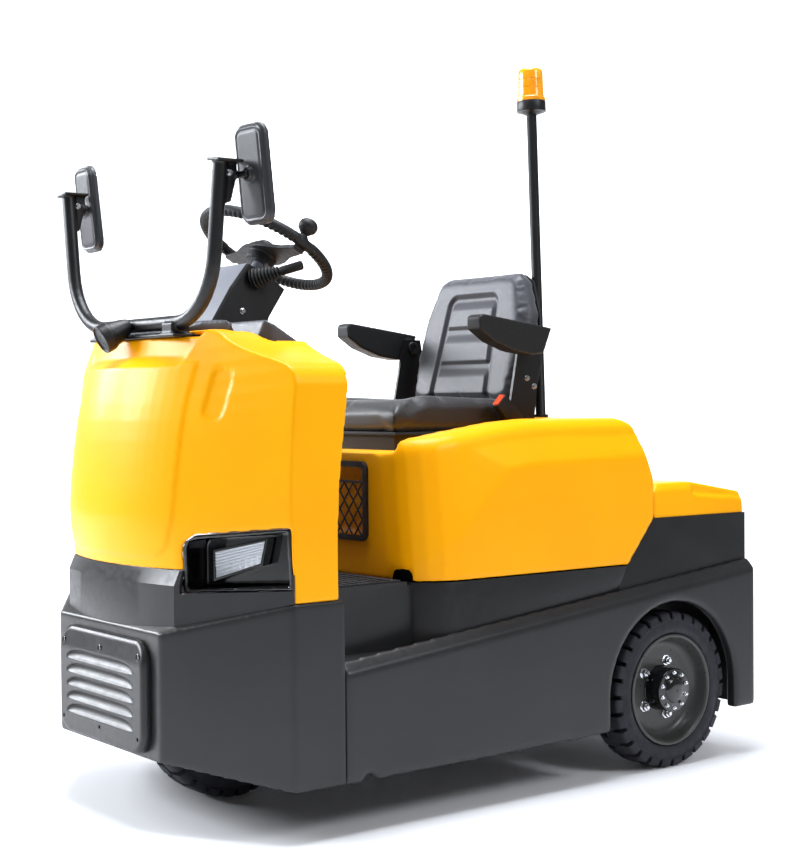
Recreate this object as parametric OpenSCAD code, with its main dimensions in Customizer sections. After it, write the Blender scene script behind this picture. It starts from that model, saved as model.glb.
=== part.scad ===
// Airport tow tractor: a compact three-wheeled electric tractor with one steered front wheel,
// a seat on the battery hood, a moulded front cowl with a mirror bar and a rear drawbar hitch.
// Frame: the front faces -Y, the driver's left is +X, +Z is up, and the origin is on the ground
// below the middle of the overall box.

/* [Overall] */
// Length from the nose of the cowl to the tip of the hitch
overall_l = 1874; // [1840:1:1960]
// Width over the side sills
body_w = 1050; // [1010:1:1110]
// Height of the driver's floor
floor_z = 550; // [545:1:570]
// Ground clearance under the sills
sill_low_z = 116; // [100:1:130]
// Sheet thickness of the steel plates
plate_t = 10; // [8:0.5:12]
// Wall thickness of the moulded cowl and hood
shell_t = 10; // [7:0.5:12]

/* [Wheels] */
// Outer diameter of the tyres
tyre_d = 415; // [400:1:425]
// Width of the tyres
tyre_w = 108; // [100:1:112]
// Diameter over the rim flanges
rim_d = 296; // [280:1:300]
// Depth of the wheel disc behind the rim flange
disc_depth = 45; // [35:1:50]
// Diameter of the rear wheel hub
hub_d = 116; // [106:1:120]
// Distance from the bumper face to the front wheel's centre
front_overhang = 325; // [315:1:345]
// Distance from the rear wheels' centre to the rear plate
rear_overhang = 315; // [300:1:330]
// Gap between the sill's outer face and the tyre's outer face
wheel_inset = 17; // [12:1:25]
// Running clearance between a pin and its bore
pin_gap = 0.05; // [0.03:0.01:0.08]

/* [Bumper and sills] */
// How far the cowl bulges ahead of the bumper face
nose_reach = 27; // [20:1:35]
// Width of the flat bumper face
bumper_face_w = 508; // [480:1:540]
// Length of the angled bumper corners along the tractor
bumper_corner_l = 187; // [170:1:200]
// Length of the whole bumper block
bumper_l = 326; // [315:1:340]
// Height of the bumper's lower edge at the face
bumper_low_z = 164; // [150:1:180]
// Height of the bumper's ledge at the face
ledge_z = 461; // [455:1:480]
// Height of the bumper's shoulders
shoulder_z = 535; // [525:1:540]
// Thickness of the side sills
sill_t = 37; // [30:1:42]
// Height of the sill's top at its front end
sill_front_z = 392; // [380:1:405]
// Height of the sill's top at the rear
sill_rear_z = 540; // [530:1:555]
// Chamfer along the sill's top edge
sill_chamfer = 26; // [18:1:30]
// Radius of the rear wheel arch
arch_r = 236; // [228:1:245]

/* [Cowl] */
// Half width of the curved front of the cowl
cowl_arc_half = 257; // [240:1:270]
// Rise of the curved front
cowl_sagitta = 58; // [45:1:65]
// Length of the cowl from the bumper face to its rear edge
cowl_l = 312; // [300:1:320]
// Height of the cowl's lower front edge
cowl_low_z = 600; // [590:1:610]
// Height of the cowl's shoulders
cowl_top_z = 1148; // [1130:1:1170]
// Drop of the shoulders towards the sides
cowl_side_drop = 95; // [85:1:105]
// Half width of the dash opening in the cowl's top
dash_half = 335; // [320:1:345]
// Depth of the lamp recess in the angled corner
lamp_depth = 75; // [60:1:80]

/* [Steering and mirrors] */
// Rim centreline radius of the steering wheel
steer_r = 170; // [160:1:180]
// Thickness of the steering wheel's rim
steer_rim_d = 26; // [24:1:30]
// Lean of the steering column from upright
column_tilt = 30.5; // [28:0.5:33]
// Height of the steering wheel's hub
steer_z = 1370; // [1360:1:1380]
// Distance of the steering wheel's hub behind the bumper face
steer_back = 459; // [450:1:465]
// Outer diameter of the mirror bar's tube
bar_d = 34; // [30:1:36]
// Height of the mirror bar's top ends
bar_top_z = 1518; // [1500:1:1540]
// Half spacing of the mirror bar's top ends
bar_half = 380; // [370:1:390]
// Mirror height
mirror_h = 224; // [210:1:240]
// Mirror width
mirror_w = 110; // [100:1:120]

/* [Hood and seat] */
// Width of the battery hood
hood_w = 990; // [980:1:1000]
// Gap between the cowl's rear edge and the front of the hood
entry_gap = 253; // [240:1:265]
// Height of the hood's lower edge
hood_low_z = 547; // [545:1:550]
// Height of the hood's top
hood_top_z = 933; // [925:1:940]
// Height of the seat deck
deck_z = 856; // [846:1:866]
// Half width of the seat recess between the hood's shoulders
recess_half = 377; // [365:1:385]
// Radius of the hood's and battery bay's front corners in plan
hood_corner_r = 130; // [120:1:140]
// Seat cushion width
seat_w = 480; // [460:1:500]
// Seat cushion depth
seat_d = 480; // [470:1:490]
// Height of the seat cushion's top
seat_z = 976; // [970:1:985]
// Lean of the backrest from upright
back_tilt = 13; // [10:1:13]
// Backrest height
back_h = 386; // [370:1:390]
// Place of an armrest's middle beyond the seat's side
arm_gap = 44; // [40:1:52]
// Height of the beacon mast above the hood
mast_h = 835; // [800:1:860]
// Diameter of the beacon mast
mast_d = 28; // [25:1:32]

/* [Rear] */
// Height of the rear body's top plate
rear_top_z = 665; // [655:1:675]
// Height of the rear cover's top
cover_top_z = 757; // [750:1:765]
// Reach of the hitch behind the rear plate
hitch_reach = 132; // [120:1:145]
// Diameter of the tow pin
tow_pin_d = 30; // [26:1:34]
// Height of the lower hitch plate
hitch_low_z = 262; // [250:1:280]
// Clear height between two hitch plates
hitch_gap = 46; // [40:1:52]
// Spare bolt hole diameter in the rear plate
spare_hole_d = 18; // [16:1:20]

/* [Battery] */
// Room at each side of the battery
battery_side_gap = 73; // [63:1:98]
// Room behind the battery
battery_end_gap = 31.5; // [21:0.5:71]
// Battery height
battery_h = 600; // [560:1:640]

/* [Hidden] */
$fn = 96;
grey = "#4a4b4e";
yellow = "#ffb50f";
black = "#1c1c1e";

// Places along the tractor
half_w = body_w / 2;
face_y = -overall_l / 2 + nose_reach;
corner_y = face_y + bumper_corner_l;
bumper_end_y = face_y + bumper_l;
front_axle_y = face_y + front_overhang;
cowl_rear_y = face_y + cowl_l;
hood_front_y = cowl_rear_y + entry_gap;
panel_y = hood_front_y;
rear_y = overall_l / 2 - hitch_reach;
rear_axle_y = rear_y - rear_overhang;
tyre_r = tyre_d / 2;
axle_z = tyre_r;
arch_y = rear_axle_y - 5;
steer_y = face_y + steer_back;
hood_rear_y = rear_y - 365;
cover_gap = 6;
cover_front_y = hood_rear_y + cover_gap;
hinge_y = hood_rear_y + 10;
hinge_z = cover_top_z + 13;
seam_y = hood_rear_y - 97;
bay_front_y = panel_y;
well_y = rear_axle_y - tyre_r - 48;
well_top_z = tyre_d + 47;
wall_x = half_w - sill_t;
mat_t = 6;
step_z = sill_front_z;
step_x = wall_x - 58;
wheel_x = half_w - wheel_inset - tyre_w / 2;
seat_y = panel_y + 115;
seat_rear_y = seat_y + seat_d;
arm_half = seat_w / 2 + arm_gap;
cushion_t = 74;
bar_y = face_y + 97;
base_top_z = seat_z - cushion_t;

module both_sides() {
    children();
    mirror([1, 0, 0]) children();
}

// Extrudes a Y-Z outline across the tractor, from x0 to x1
module across(x0, x1) {
    translate([x0, 0, 0]) rotate([90, 0, 90]) linear_extrude(x1 - x0) children();
}

// Extrudes an X-Z outline along the tractor, from y0 to y1
module along(y0, y1) {
    translate([0, y1, 0]) rotate([90, 0, 0]) linear_extrude(y1 - y0) children();
}

module slab(x0, x1, y0, y1, z0, z1) {
    translate([x0, y0, z0]) cube([x1 - x0, y1 - y0, z1 - z0]);
}

module rounded(w, h, r) {
    square([w - 2 * r, h], center = true);
    square([w, h - 2 * r], center = true);
    for (sx = [-1, 1], sy = [-1, 1])
        translate([sx * (w / 2 - r), sy * (h / 2 - r)]) circle(r);
}

// A solid skinned over rings of equal length, each counterclockwise seen from the last ring's side
module skin(rings) {
    n = len(rings[0]);
    m = len(rings);
    low = [for (i = [0:n - 1]) i];
    high = [for (i = [n - 1:-1:0]) (m - 1) * n + i];
    sides = [for (k = [0:m - 2], i = [0:n - 1])
        let (a = k * n + i, b = k * n + (i + 1) % n)
        each [[a, a + n, b + n], [a, b + n, b]]];
    polyhedron([for (r = rings) each r], concat([low], [high], sides));
}

// Bumper outline in plan, inset by t
facet_len = norm([half_w - bumper_face_w / 2, bumper_corner_l]);
facet_u = [half_w - bumper_face_w / 2, bumper_corner_l] / facet_len;
function bumper_plan(t, end_y) =
    let (ax = bumper_face_w / 2 - t * facet_u[1] + t * (1 - facet_u[0]) / facet_u[1] * facet_u[0],
        s = (half_w - t - bumper_face_w / 2 + t * facet_u[1]) / facet_u[0],
        by = face_y + t * facet_u[0] + s * facet_u[1])
    [[-ax, face_y + t], [ax, face_y + t], [half_w - t, by], [half_w - t, end_y],
        [t - half_w, end_y], [t - half_w, by]];

module bumper_envelope(t, drop) {
    intersection() {
        linear_extrude(shoulder_z + 1) polygon(bumper_plan(t, bumper_end_y + drop));
        across(-half_w, half_w) polygon([[face_y, bumper_low_z - 2 * drop],
            [corner_y, sill_low_z - 2 * drop], [bumper_end_y + drop, sill_low_z - 2 * drop],
            [bumper_end_y + drop, shoulder_z - t], [corner_y, shoulder_z - t], [face_y, ledge_z - t]]);
    }
}

module bumper() color(grey) {
    difference() {
        bumper_envelope(0, 0);
        bumper_envelope(plate_t, 50);
        slab(-wall_x + 68, wall_x - 68, corner_y + 60, bumper_end_y + 1, ledge_z, shoulder_z + 1);
    }
}

cover_w = 430;
cover_h = 262;
cover_z = 306;
cover_t = 22;
cover_r = 52;
louvre_n = 5;
louvre_pitch = 33;
module front_cover() color(grey) {
    translate([0, face_y, cover_z]) difference() {
        union() {
            along(-cover_t + 8, 0) rounded(cover_w, cover_h, cover_r);
            along(-cover_t, 1 - cover_t + 8) rounded(cover_w - 16, cover_h - 16, cover_r - 8);
            for (i = [0:louvre_n - 1])
                translate([0, -cover_t + 4, (i - 2) * louvre_pitch - 2])
                    rotate([0, 90, 0]) cylinder(r = 8, h = cover_w - 90, center = true);
        }
        for (x = [-190, 0, 190], z = [-94, 94])
            translate([x, 1, z]) rotate([90, 0, 0]) cylinder(d = 10, h = cover_t + 10);
    }
}

sill_slope = atan2(sill_rear_z - sill_front_z, rear_y - bumper_end_y);
module sills() color(grey) {
    both_sides() difference() {
        across(wall_x, half_w) polygon([[bumper_end_y, sill_low_z], [rear_y, sill_low_z + 18],
            [rear_y, sill_rear_z], [bumper_end_y, sill_front_z]]);
        translate([half_w, bumper_end_y, sill_front_z]) rotate([sill_slope, 0, 0])
            translate([0, -50, 0]) rotate([0, 45, 0])
                cube([sill_chamfer * sqrt(2), 2 * overall_l, sill_chamfer * sqrt(2)], center = true);
        translate([wall_x - 1, arch_y, axle_z]) rotate([0, 90, 0]) cylinder(r = arch_r, h = sill_t + 2);
        slab(wall_x - 1, half_w + 1, arch_y - arch_r, arch_y + arch_r, 0, axle_z);
        translate([wall_x - 1, bumper_end_y + 68, sill_low_z]) rotate([0, 90, 0])
            cylinder(r = 18, h = sill_t + 2);
    }
}

bay_r = hood_corner_r;
bay_floor_z = 130;
module bay_plan(t) {
    x = wall_x - t;
    y = bay_front_y + t;
    r = bay_r - t;
    for (s = [-1, 1]) translate([s * (x - r), y + r]) circle(r);
    translate([-x + r, y]) square([2 * (x - r), r]);
    translate([-x, y + r]) square([2 * x, rear_y - y - r]);
}

module battery_bay() color(grey) {
    difference() {
        intersection() {
            translate([0, 0, bay_floor_z]) linear_extrude(hood_low_z - bay_floor_z) bay_plan(0);
            across(-half_w, half_w) polygon([[bay_front_y, bay_floor_z], [well_y, bay_floor_z],
                [well_y, well_top_z], [seam_y - 43, well_top_z], [seam_y, hood_low_z],
                [bay_front_y, hood_low_z]]);
        }
        intersection() {
            translate([0, 0, bay_floor_z + plate_t]) linear_extrude(hood_low_z) bay_plan(plate_t);
            across(-half_w, half_w) polygon([[bay_front_y, 0], [well_y - plate_t, 0],
                [well_y - plate_t, hood_low_z + 1], [bay_front_y, hood_low_z + 1]]);
        }
    }
}

rear_inner_x = 365;
spare_z = 540;
rear_floor_z = 312;
module rear_body() color(grey) {
    difference() {
        union() {
            across(-wall_x, wall_x) polygon([[seam_y - 43, well_top_z], [rear_y, well_top_z],
                [rear_y, rear_top_z], [hood_rear_y + 2, rear_top_z], [seam_y, hood_low_z]]);
            slab(-rear_inner_x, rear_inner_x, well_y, rear_y, rear_floor_z, well_top_z);
            slab(-wall_x, wall_x, rear_y - 1.5 * plate_t, rear_y, sill_low_z + 18, well_top_z);
        }
        slab(-wall_x + plate_t, wall_x - plate_t, hood_rear_y + 20, rear_y - 1.5 * plate_t,
            well_top_z + plate_t, rear_top_z - plate_t);
        slab(-rear_inner_x + plate_t, rear_inner_x - plate_t, well_y + plate_t,
            rear_y - 1.5 * plate_t, rear_floor_z + plate_t, well_top_z + 2 * plate_t);
        for (x = [-70, 70], z = [-40, 40])
            translate([x, rear_y + 1, spare_z + z]) rotate([90, 0, 0])
                cylinder(d = spare_hole_d, h = 1.5 * plate_t + 2);
    }
}
seam_gap = 0.3;
hood_clear = 6;
king_r = 25;
boss_r = 62;
step_end_y = bay_front_y + bay_r;
module floor_pan() color(grey) {
    difference() {
        union() {
            slab(-step_x, step_x, corner_y + 10, step_end_y, shoulder_z, floor_z);
            both_sides() {
                slab(step_x - plate_t, step_x, bumper_end_y, step_end_y, step_z - plate_t, shoulder_z);
                slab(step_x, wall_x, bumper_end_y, step_end_y, step_z - plate_t, step_z);
            }
            translate([0, front_axle_y, shoulder_z - 48]) cylinder(r = boss_r, h = 48);
            slab(-step_x + plate_t, step_x - plate_t, front_axle_y - 35, front_axle_y + 35,
                shoulder_z - 30, shoulder_z);
        }
        translate([0, front_axle_y, shoulder_z - 49]) cylinder(r = king_r + pin_gap, h = 45);
        translate([0, 0, step_z - 50]) linear_extrude(floor_z) bay_plan(-seam_gap);
        translate([0, 0, hood_low_z - hood_clear]) linear_extrude(50) bay_plan(-2 * hood_clear);
    }
}

module floor_mat() color(black) {
    w = 2 * step_x - 16;
    l = panel_y - 6 - corner_y - 40;
    translate([-w / 2, corner_y + 40, floor_z]) {
        cube([w, l, mat_t - 2]);
        for (i = [0:2:floor(l / 12) - 2])
            translate([8, 8 + 12 * i, mat_t - 3]) cube([w - 16, 10, 3]);
    }
}

// Cowl and nose: rings of one plan outline with a curved front, angled corners and straight sides
arc_n = 18;
panel_rise = 4;
cowl_half = half_w - 3;
function arc_r(half, sagitta) = (half * half + sagitta * sagitta) / (2 * sagitta);
function front_curve(apex, half, r) = [for (i = [0:arc_n])
    let (x = half * (2 * i / arc_n - 1)) [x, apex + r - sqrt(r * r - x * x)]];
function cowl_ring(z, apex, corner, rear, half, arc_half, r) = [
    [half, rear, z], [-half, rear, z], [-half, corner, z],
    each [for (p = front_curve(apex, arc_half, r)) [p[0], p[1], z]],
    [half, corner, z]];
// Columns: height, apex ahead of the bumper face, corner ahead of the bumper corner, rear edge, share of
// the front's rise
cowl_sections = [
    [shoulder_z, -10, -8, 0, 0.62],
    [cowl_low_z, -4, -3, -2, 0.72],
    [cowl_low_z + 60, 13, 1, -2, 0.9],
    [cowl_low_z + 120, nose_reach - panel_rise - 1, 2, 0, 1],
    [cowl_low_z + 200, 17, 2, 4, 1],
    [cowl_low_z + 340, -2, -5, 20, 1],
    [cowl_low_z + 460, -32, -17, 34, 1],
    [cowl_top_z + 22, -62, -30, 42, 1]];
section_n = len(cowl_sections);
// Smooth levels between the sections
level_n = 3;
function rate(i, c) = let (a = cowl_sections[max(0, i - 1)], b = cowl_sections[min(section_n - 1, i + 1)])
    (b[c] - a[c]) / (b[0] - a[0]);
function eased(i, u, c) = let (a = cowl_sections[i], b = cowl_sections[i + 1])
    a[c] * (1 + 2 * u) * (1 - u) * (1 - u) + b[c] * u * u * (3 - 2 * u)
    + (b[0] - a[0]) * u * (1 - u) * ((1 - u) * rate(i, c) - u * rate(i + 1, c));
cowl_levels = [
    for (i = [0:section_n - 2], k = [0:level_n - 1]) let (u = k / level_n)
        [cowl_sections[i][0] * (1 - u) + cowl_sections[i + 1][0] * u, for (c = [1:4]) eased(i, u, c)],
    cowl_sections[section_n - 1]];
module cowl_loft(t, rear_extra) {
    skin([for (s = cowl_levels) cowl_ring(s[0] + (s[0] == shoulder_z ? -rear_extra : 0),
        face_y - s[1] + t, corner_y - s[2] + 0.7 * t, cowl_rear_y + s[3] + rear_extra,
        cowl_half - t, cowl_arc_half - 0.3 * t, arc_r(cowl_arc_half, cowl_sagitta * s[4]))]);
}

// The cowl under its sloping shoulders, inset by t. Columns: share of the half width, share of the drop
roof_edge = [[0.546, 0], [0.59, 0.07], [0.63, 0.23], [0.7, 0.42], [0.774, 0.57], [0.852, 0.7], [0.933, 0.85],
    [0.964, 0.97], [0.985, 1.12], [1, 1.35], [1.1, 2.7]];
module cowl_body(t, rear_extra) {
    low = shoulder_z - 100;
    side = 1.1 * cowl_half;
    right = [for (p = roof_edge) [p[0] * cowl_half, cowl_top_z - t - p[1] * cowl_side_drop]];
    intersection() {
        cowl_loft(t, rear_extra);
        along(face_y - 150, cowl_rear_y + 150) polygon([[-side, low], [side, low],
            for (i = [len(right) - 1:-1:0]) right[i], for (p = right) [-p[0], p[1]]]);
    }
}

// Raised front panel. Columns: half width, height above the cowl's lower edge
panel_edge = [[170, 28], [200, 31], [222, 41], [240, 62], [252, 102], [259, 149], [262, 257], [263, 391],
    [268, 470]];
module panel_zone() {
    along(face_y - 100, bar_y) polygon([for (p = panel_edge) [p[0], cowl_low_z + p[1]],
        for (i = [len(panel_edge) - 1:-1:0]) [-panel_edge[i][0], cowl_low_z + panel_edge[i][1]]]);
}

// Local frame of the left angled corner: x along the facet, y into the body
facet_start = [cowl_arc_half, face_y + 5 + cowl_sagitta];
facet_end = [cowl_half, corner_y + 3];
facet_angle = atan2(facet_end[1] - facet_start[1], facet_end[0] - facet_start[0]);
facet_l = norm(facet_end - facet_start);
module on_facet(y0, y1) {
    translate([facet_start[0], facet_start[1], 0]) rotate([0, 0, facet_angle])
        along(y0, y1) children();
}

lamp_low_z = 549;
module lamp_outline(t) {
    polygon([[10 - t, lamp_low_z - t], [facet_l - 6 + t, lamp_low_z + 16 - t],
        [facet_l - 8 + t, lamp_low_z + 154 + t], [44 - t, lamp_low_z + 133 + t],
        [18 - t, lamp_low_z + 118], [10 - t, lamp_low_z + 100]]);
}

notch_half = 223;
notch_z = 1132;
notch_lean = 0.56;
recess_z = 1066;
recess_d = 22;
recess_slope = 20;
// Block of the set-back panel below the mirror bar, grown by t
module recess_zone(t) {
    high = cowl_top_z + 60;
    top = notch_half + notch_lean * (high - recess_z) + t;
    along(face_y - 100, bar_y + 18 + t) polygon([[-notch_half - t, recess_z - t],
        [notch_half + t, recess_z - t], [top, high], [-top, high]]);
}
// Body left behind the set-back panel. Columns: height, apex ahead of the bumper face, depth
recess_levels = [
    [recess_z, -33, 0],
    [recess_z + recess_slope, -39, recess_d],
    [cowl_top_z + 62, -72, recess_d]];
module recess_body() {
    skin([for (s = recess_levels) cowl_ring(s[0], face_y - s[1] + s[2], corner_y + 20, cowl_rear_y,
        cowl_half, cowl_arc_half, arc_r(cowl_arc_half, cowl_sagitta - s[2]))]);
}

// Half outline of the dash opening, front to rear. Columns: half width, place behind the opening's front
opening_edge = [[90, 0], [200, 29], [245, 45], [290, 62], [290, 93], [dash_half, 145], [dash_half, 320]];
module dash_plan(t) {
    edge = [for (p = opening_edge) [p[0] - t, bar_y + 18 + t + p[1]]];
    polygon([for (p = edge) p, for (i = [len(edge) - 1:-1:0]) [-edge[i][0], edge[i][1]]]);
}

slot_d = 5;
module slot_outline() {
    translate([92, 1001]) rotate(-12.5) rounded(58, 122, 24);
}

module cowl() color(yellow) {
    difference() {
        union() {
            cowl_body(0, 0);
            intersection() {
                cowl_loft(-panel_rise, 0);
                panel_zone();
            }
        }
        difference() {
            cowl_body(shell_t, 60);
            recess_zone(shell_t);
        }
        cowl_body(recess_d + shell_t, 60);
        difference() {
            recess_zone(0);
            recess_body();
        }
        both_sides() difference() {
            on_facet(-60, 80) slot_outline();
            cowl_loft(slot_d, 60);
        }
        // opening for the dash and notch for the mirror bar
        translate([0, 0, dash_under_z - 20]) linear_extrude(200) dash_plan(0);
        along(face_y - 100, bar_y + 30) polygon([[-notch_half - 36, notch_z], [notch_half + 36, notch_z],
            [notch_half + 90, cowl_top_z + 80], [-notch_half - 90, cowl_top_z + 80]]);
        // the front below the cowl's lower edge is the nose
        slab(-half_w, half_w, face_y - 100, corner_y + 4, 0, cowl_low_z);
        both_sides() on_facet(-80, lamp_depth + 40) lamp_outline(0.5);
    }
}
// Nose band. Columns: height, apex ahead of the bumper face, rise of the curved front
nose_half = 266;
nose_levels = [[ledge_z - 30, -2, 31], [cowl_low_z - 34, -2, 31], [cowl_low_z, -8, 40]];
module nose_loft(t, extra) {
    skin([for (s = nose_levels) cowl_ring(
        s[0] + (s[0] == cowl_low_z ? extra : 0) - (s[0] < ledge_z ? extra : 0),
        face_y - s[1] + t, corner_y + 4 + 0.7 * t, corner_y + 4 + 26 * extra,
        cowl_half - 1.5 * t, nose_half - 0.3 * t, arc_r(nose_half, s[2]))]);
}
module nose() color(grey) {
    difference() {
        nose_loft(0, 0);
        nose_loft(shell_t, 1);
        // seated on the bumper's sloping ledge
        across(-half_w - 1, half_w + 1) polygon([[face_y - 100, ledge_z - (100 / bumper_corner_l) *
            (shoulder_z - ledge_z)], [corner_y + 20, shoulder_z + (20 / bumper_corner_l) *
            (shoulder_z - ledge_z)], [corner_y + 20, 0], [face_y - 100, 0]]);
        both_sides() on_facet(-80, lamp_depth + 40) lamp_outline(0.5);
    }
}

module headlamp_housings() color(black) {
    both_sides() difference() {
        intersection() {
            on_facet(-60, lamp_depth) lamp_outline(0);
            cowl_loft(1, 0);
        }
        on_facet(-61, lamp_depth - 8) lamp_outline(-9);
    }
}

module lens_outline() {
    polygon([[65, lamp_low_z + 30], [187, lamp_low_z + 68], [199, lamp_low_z + 122], [65, lamp_low_z + 92]]);
}

module headlamp_lenses() color("#dfe6ee") {
    both_sides() on_facet(lamp_depth - 40, lamp_depth - 8) lens_outline();
}

dash_front_y = face_y + 128;
dash_slope_y = face_y + 250;
dash_rear_y = face_y + 355;
dash_top_z = cowl_top_z + 24;
dash_lip_z = dash_top_z - 62;
dash_under_z = cowl_top_z - 60;
knee_y = face_y + 290;
knee_low_z = floor_z + 250;
dash_t = 14;
module dash() color(black) {
    difference() {
        intersection() {
            across(-dash_half, dash_half) polygon([[dash_front_y, dash_under_z],
                [dash_front_y, dash_top_z - 22], [dash_front_y + 22, dash_top_z], [dash_slope_y, dash_top_z],
                [dash_rear_y, dash_lip_z], [dash_rear_y, dash_lip_z - dash_t], [knee_y, dash_under_z - 60],
                [knee_y, knee_low_z], [knee_y - dash_t, knee_low_z], [knee_y - dash_t, dash_under_z]]);
            linear_extrude(dash_top_z + 1) dash_plan(3);
        }
        // trays beside the column
        both_sides() across(tray_x, dash_half - 3 - dash_t) polygon([[dash_front_y + 50, dash_top_z + 1],
            [dash_front_y + 64, dash_top_z - 44], [dash_slope_y - 14, dash_top_z - 44],
            [dash_slope_y - 2, dash_top_z + 1]]);
    }
    both_sides() slab(dash_half - 4, cowl_half - shell_t - seam_gap, knee_y - dash_t, knee_y,
        knee_low_z, cowl_top_z - 1.5 * cowl_side_drop);
}

column_half = 74;
tray_x = column_half + 40;
module on_column() {
    translate([0, steer_y, steer_z]) rotate([-column_tilt, 0, 0]) children();
}
shaft_r = 15;
spoke_t = 10;
// height of the spokes' underside from the rim's middle
spoke_z = -22;
module steering_column() color(black) {
    across(-column_half, column_half) polygon([[dash_slope_y, dash_top_z], [dash_rear_y, dash_lip_z],
        [dash_rear_y, dash_lip_z - 90], [dash_rear_y + 20, dash_lip_z - 90], [steer_y - 40, steer_z - 180],
        [steer_y + 9, steer_z - 107], [steer_y - 49, steer_z - 67], [steer_y - 102, steer_z - 45],
        [steer_y - 152, steer_z - 107]]);
    on_column() translate([0, 0, -110]) cylinder(r = shaft_r, h = 109 + spoke_z);
}

lever_y = steer_y - 66;
lever_z = steer_z - 92;
module shift_lever() color(black) {
    translate([column_half, lever_y, lever_z]) rotate([0, 90, 0]) cylinder(r = 26, h = 15);
    translate([column_half + 13, lever_y, lever_z]) rotate([0, 62, 24]) {
        rotate_extrude() polygon([[0, 0], [24, 2], [24, 8], [20, 11], [22, 17], [18, 20], [19, 26],
            [15, 29], [16, 35], [12, 38], [0, 38]]);
        translate([0, 0, 37]) cylinder(r = 6, h = 20);
        translate([0, 0, 50]) cylinder(r = 11, h = 86);
    }
}

module pedals() color(black) {
    for (x = [-150, 120]) translate([x, dash_rear_y - 95, floor_z + mat_t]) {
        translate([-8, 0, 0]) across(0, 16) polygon([[0, 0], [20, 0], [-10, 120], [-26, 114]]);
        translate([-40, 0, 0]) across(0, 80) polygon([[-26, 122], [-4, 112], [40, 168], [22, 182]]);
    }
}

hub_r = 38;
knob_turn = -3;
// Half outline of the two broad spokes. Columns: place from the hub, half width
spoke_edge = [[steer_r - 6, 15], [96, 24], [52, 40], [24, 46]];
module steering_wheel() color(black) {
    on_column() {
        rotate_extrude() translate([steer_r, 0]) circle(d = steer_rim_d, $fn = 32);
        difference() {
            translate([0, 0, -46]) cylinder(r = hub_r, h = 30);
            translate([0, 0, -47]) cylinder(r = shaft_r + pin_gap, h = 47 + spoke_z);
        }
        translate([0, 0, spoke_z]) linear_extrude(spoke_t) polygon([for (p = spoke_edge) p,
            for (i = [3:-1:0]) [-spoke_edge[i][0], spoke_edge[i][1]],
            for (p = spoke_edge) [-p[0], -p[1]], for (i = [3:-1:0]) [spoke_edge[i][0], -spoke_edge[i][1]]]);
        translate([0, 0, -13]) linear_extrude(14) rounded(84, 70, 20);
        linear_extrude(8) rounded(70, 56, 16);
        rotate([0, 0, knob_turn]) translate([steer_r, 0, 0]) rotate_extrude() polygon([[0, 0], [12, 0],
            [14, 14], [9, 18], [8, 24], [13, 29], [19, 35], [21, 43], [19, 51], [13, 57], [0, 59]]);
    }
}

bar_z = 1167;
bend_r = 170;
bar_lean = 8;
bend_turn = 90 - bar_lean;
upright_l = (bar_top_z - bar_z - bend_r * (1 - cos(bend_turn))) / cos(bar_lean);
bend_x = bar_half - bend_r * sin(bend_turn) - upright_l * sin(bar_lean);
bend_n = 10;
tube_n = 24;
foot_t = 9;
foot_half = 28;
// Left half of the tube's centreline. Columns: x, height, turn from the level bar
half_path = [[bar_half, bar_top_z, bend_turn], for (i = [bend_n:-1:0]) let (a = bend_turn * i / bend_n)
    [bend_x + bend_r * sin(a), bar_z + bend_r * (1 - cos(a)), a]];
bar_path = concat(half_path, [for (i = [bend_n + 1:-1:0])
    [-half_path[i][0], half_path[i][1], -half_path[i][2]]]);
function tube_ring(p) = [for (i = [0:tube_n - 1]) let (a = 360 * i / tube_n, u = bar_d / 2 * cos(a))
    [p[0] + u * sin(p[2]), -bar_d / 2 * sin(a), p[1] - u * cos(p[2])]];
module mirror_arm() {
    translate([bar_half - 4, 36, mirror_z]) rotate([-90, 0, 0]) cylinder(r = 7, h = 18);
    slab(bar_half - 8, mirror_x + 8, 42, 54, mirror_z - 7, mirror_z + 7);
}
module mirror_bar() color(black) {
    translate([0, bar_y, 0]) {
        skin([for (p = bar_path) tube_ring(p)]);
        both_sides() {
            translate([bar_half, 0, bar_top_z]) rotate([0, 6, 0])
                slab(-26, 26, -20, 47, -2, 5);
            across(bar_half - 8, bar_half) polygon([[10, bar_top_z - 96], [28, bar_top_z - 90],
                [46, bar_top_z - 24], [44, bar_top_z - 1], [10, bar_top_z - 1]]);
            mirror_arm();
            slab(bend_x - 34, bend_x + 14, -24, 24, notch_z, bar_z);
        }
        slab(-notch_half + 12, notch_half - 12, -foot_half, foot_half, notch_z, notch_z + foot_t);
    }
}

mirror_y = bar_y + 60;
mirror_x = bar_half + 28;
mirror_z = bar_top_z - 30;
mirror_t = 22;
mirror_toe = 4;
mirror_pitch = 6;
glass_t = 2;
// Frame of the left mirror: x across the glass, y to the rear, on the front of its housing
module on_mirror() {
    translate([mirror_x, mirror_y, mirror_z]) rotate([mirror_pitch, 0, mirror_toe]) children();
}
module mirror_housings() color(black) {
    both_sides() difference() {
        on_mirror() {
            along(8, mirror_t) rounded(mirror_w, mirror_h, 30);
            along(0, 8) rounded(mirror_w - 14, mirror_h - 14, 24);
            translate([0, 1, 0]) rotate([90, 0, 0]) cylinder(r = 16, h = 12);
        }
        translate([0, bar_y, 0]) mirror_arm();
    }
}

module mirror_glasses() color("#c9d3da") {
    both_sides() on_mirror()
        along(mirror_t, mirror_t + glass_t) rounded(mirror_w - 12, mirror_h - 12, 24);
}

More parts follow.
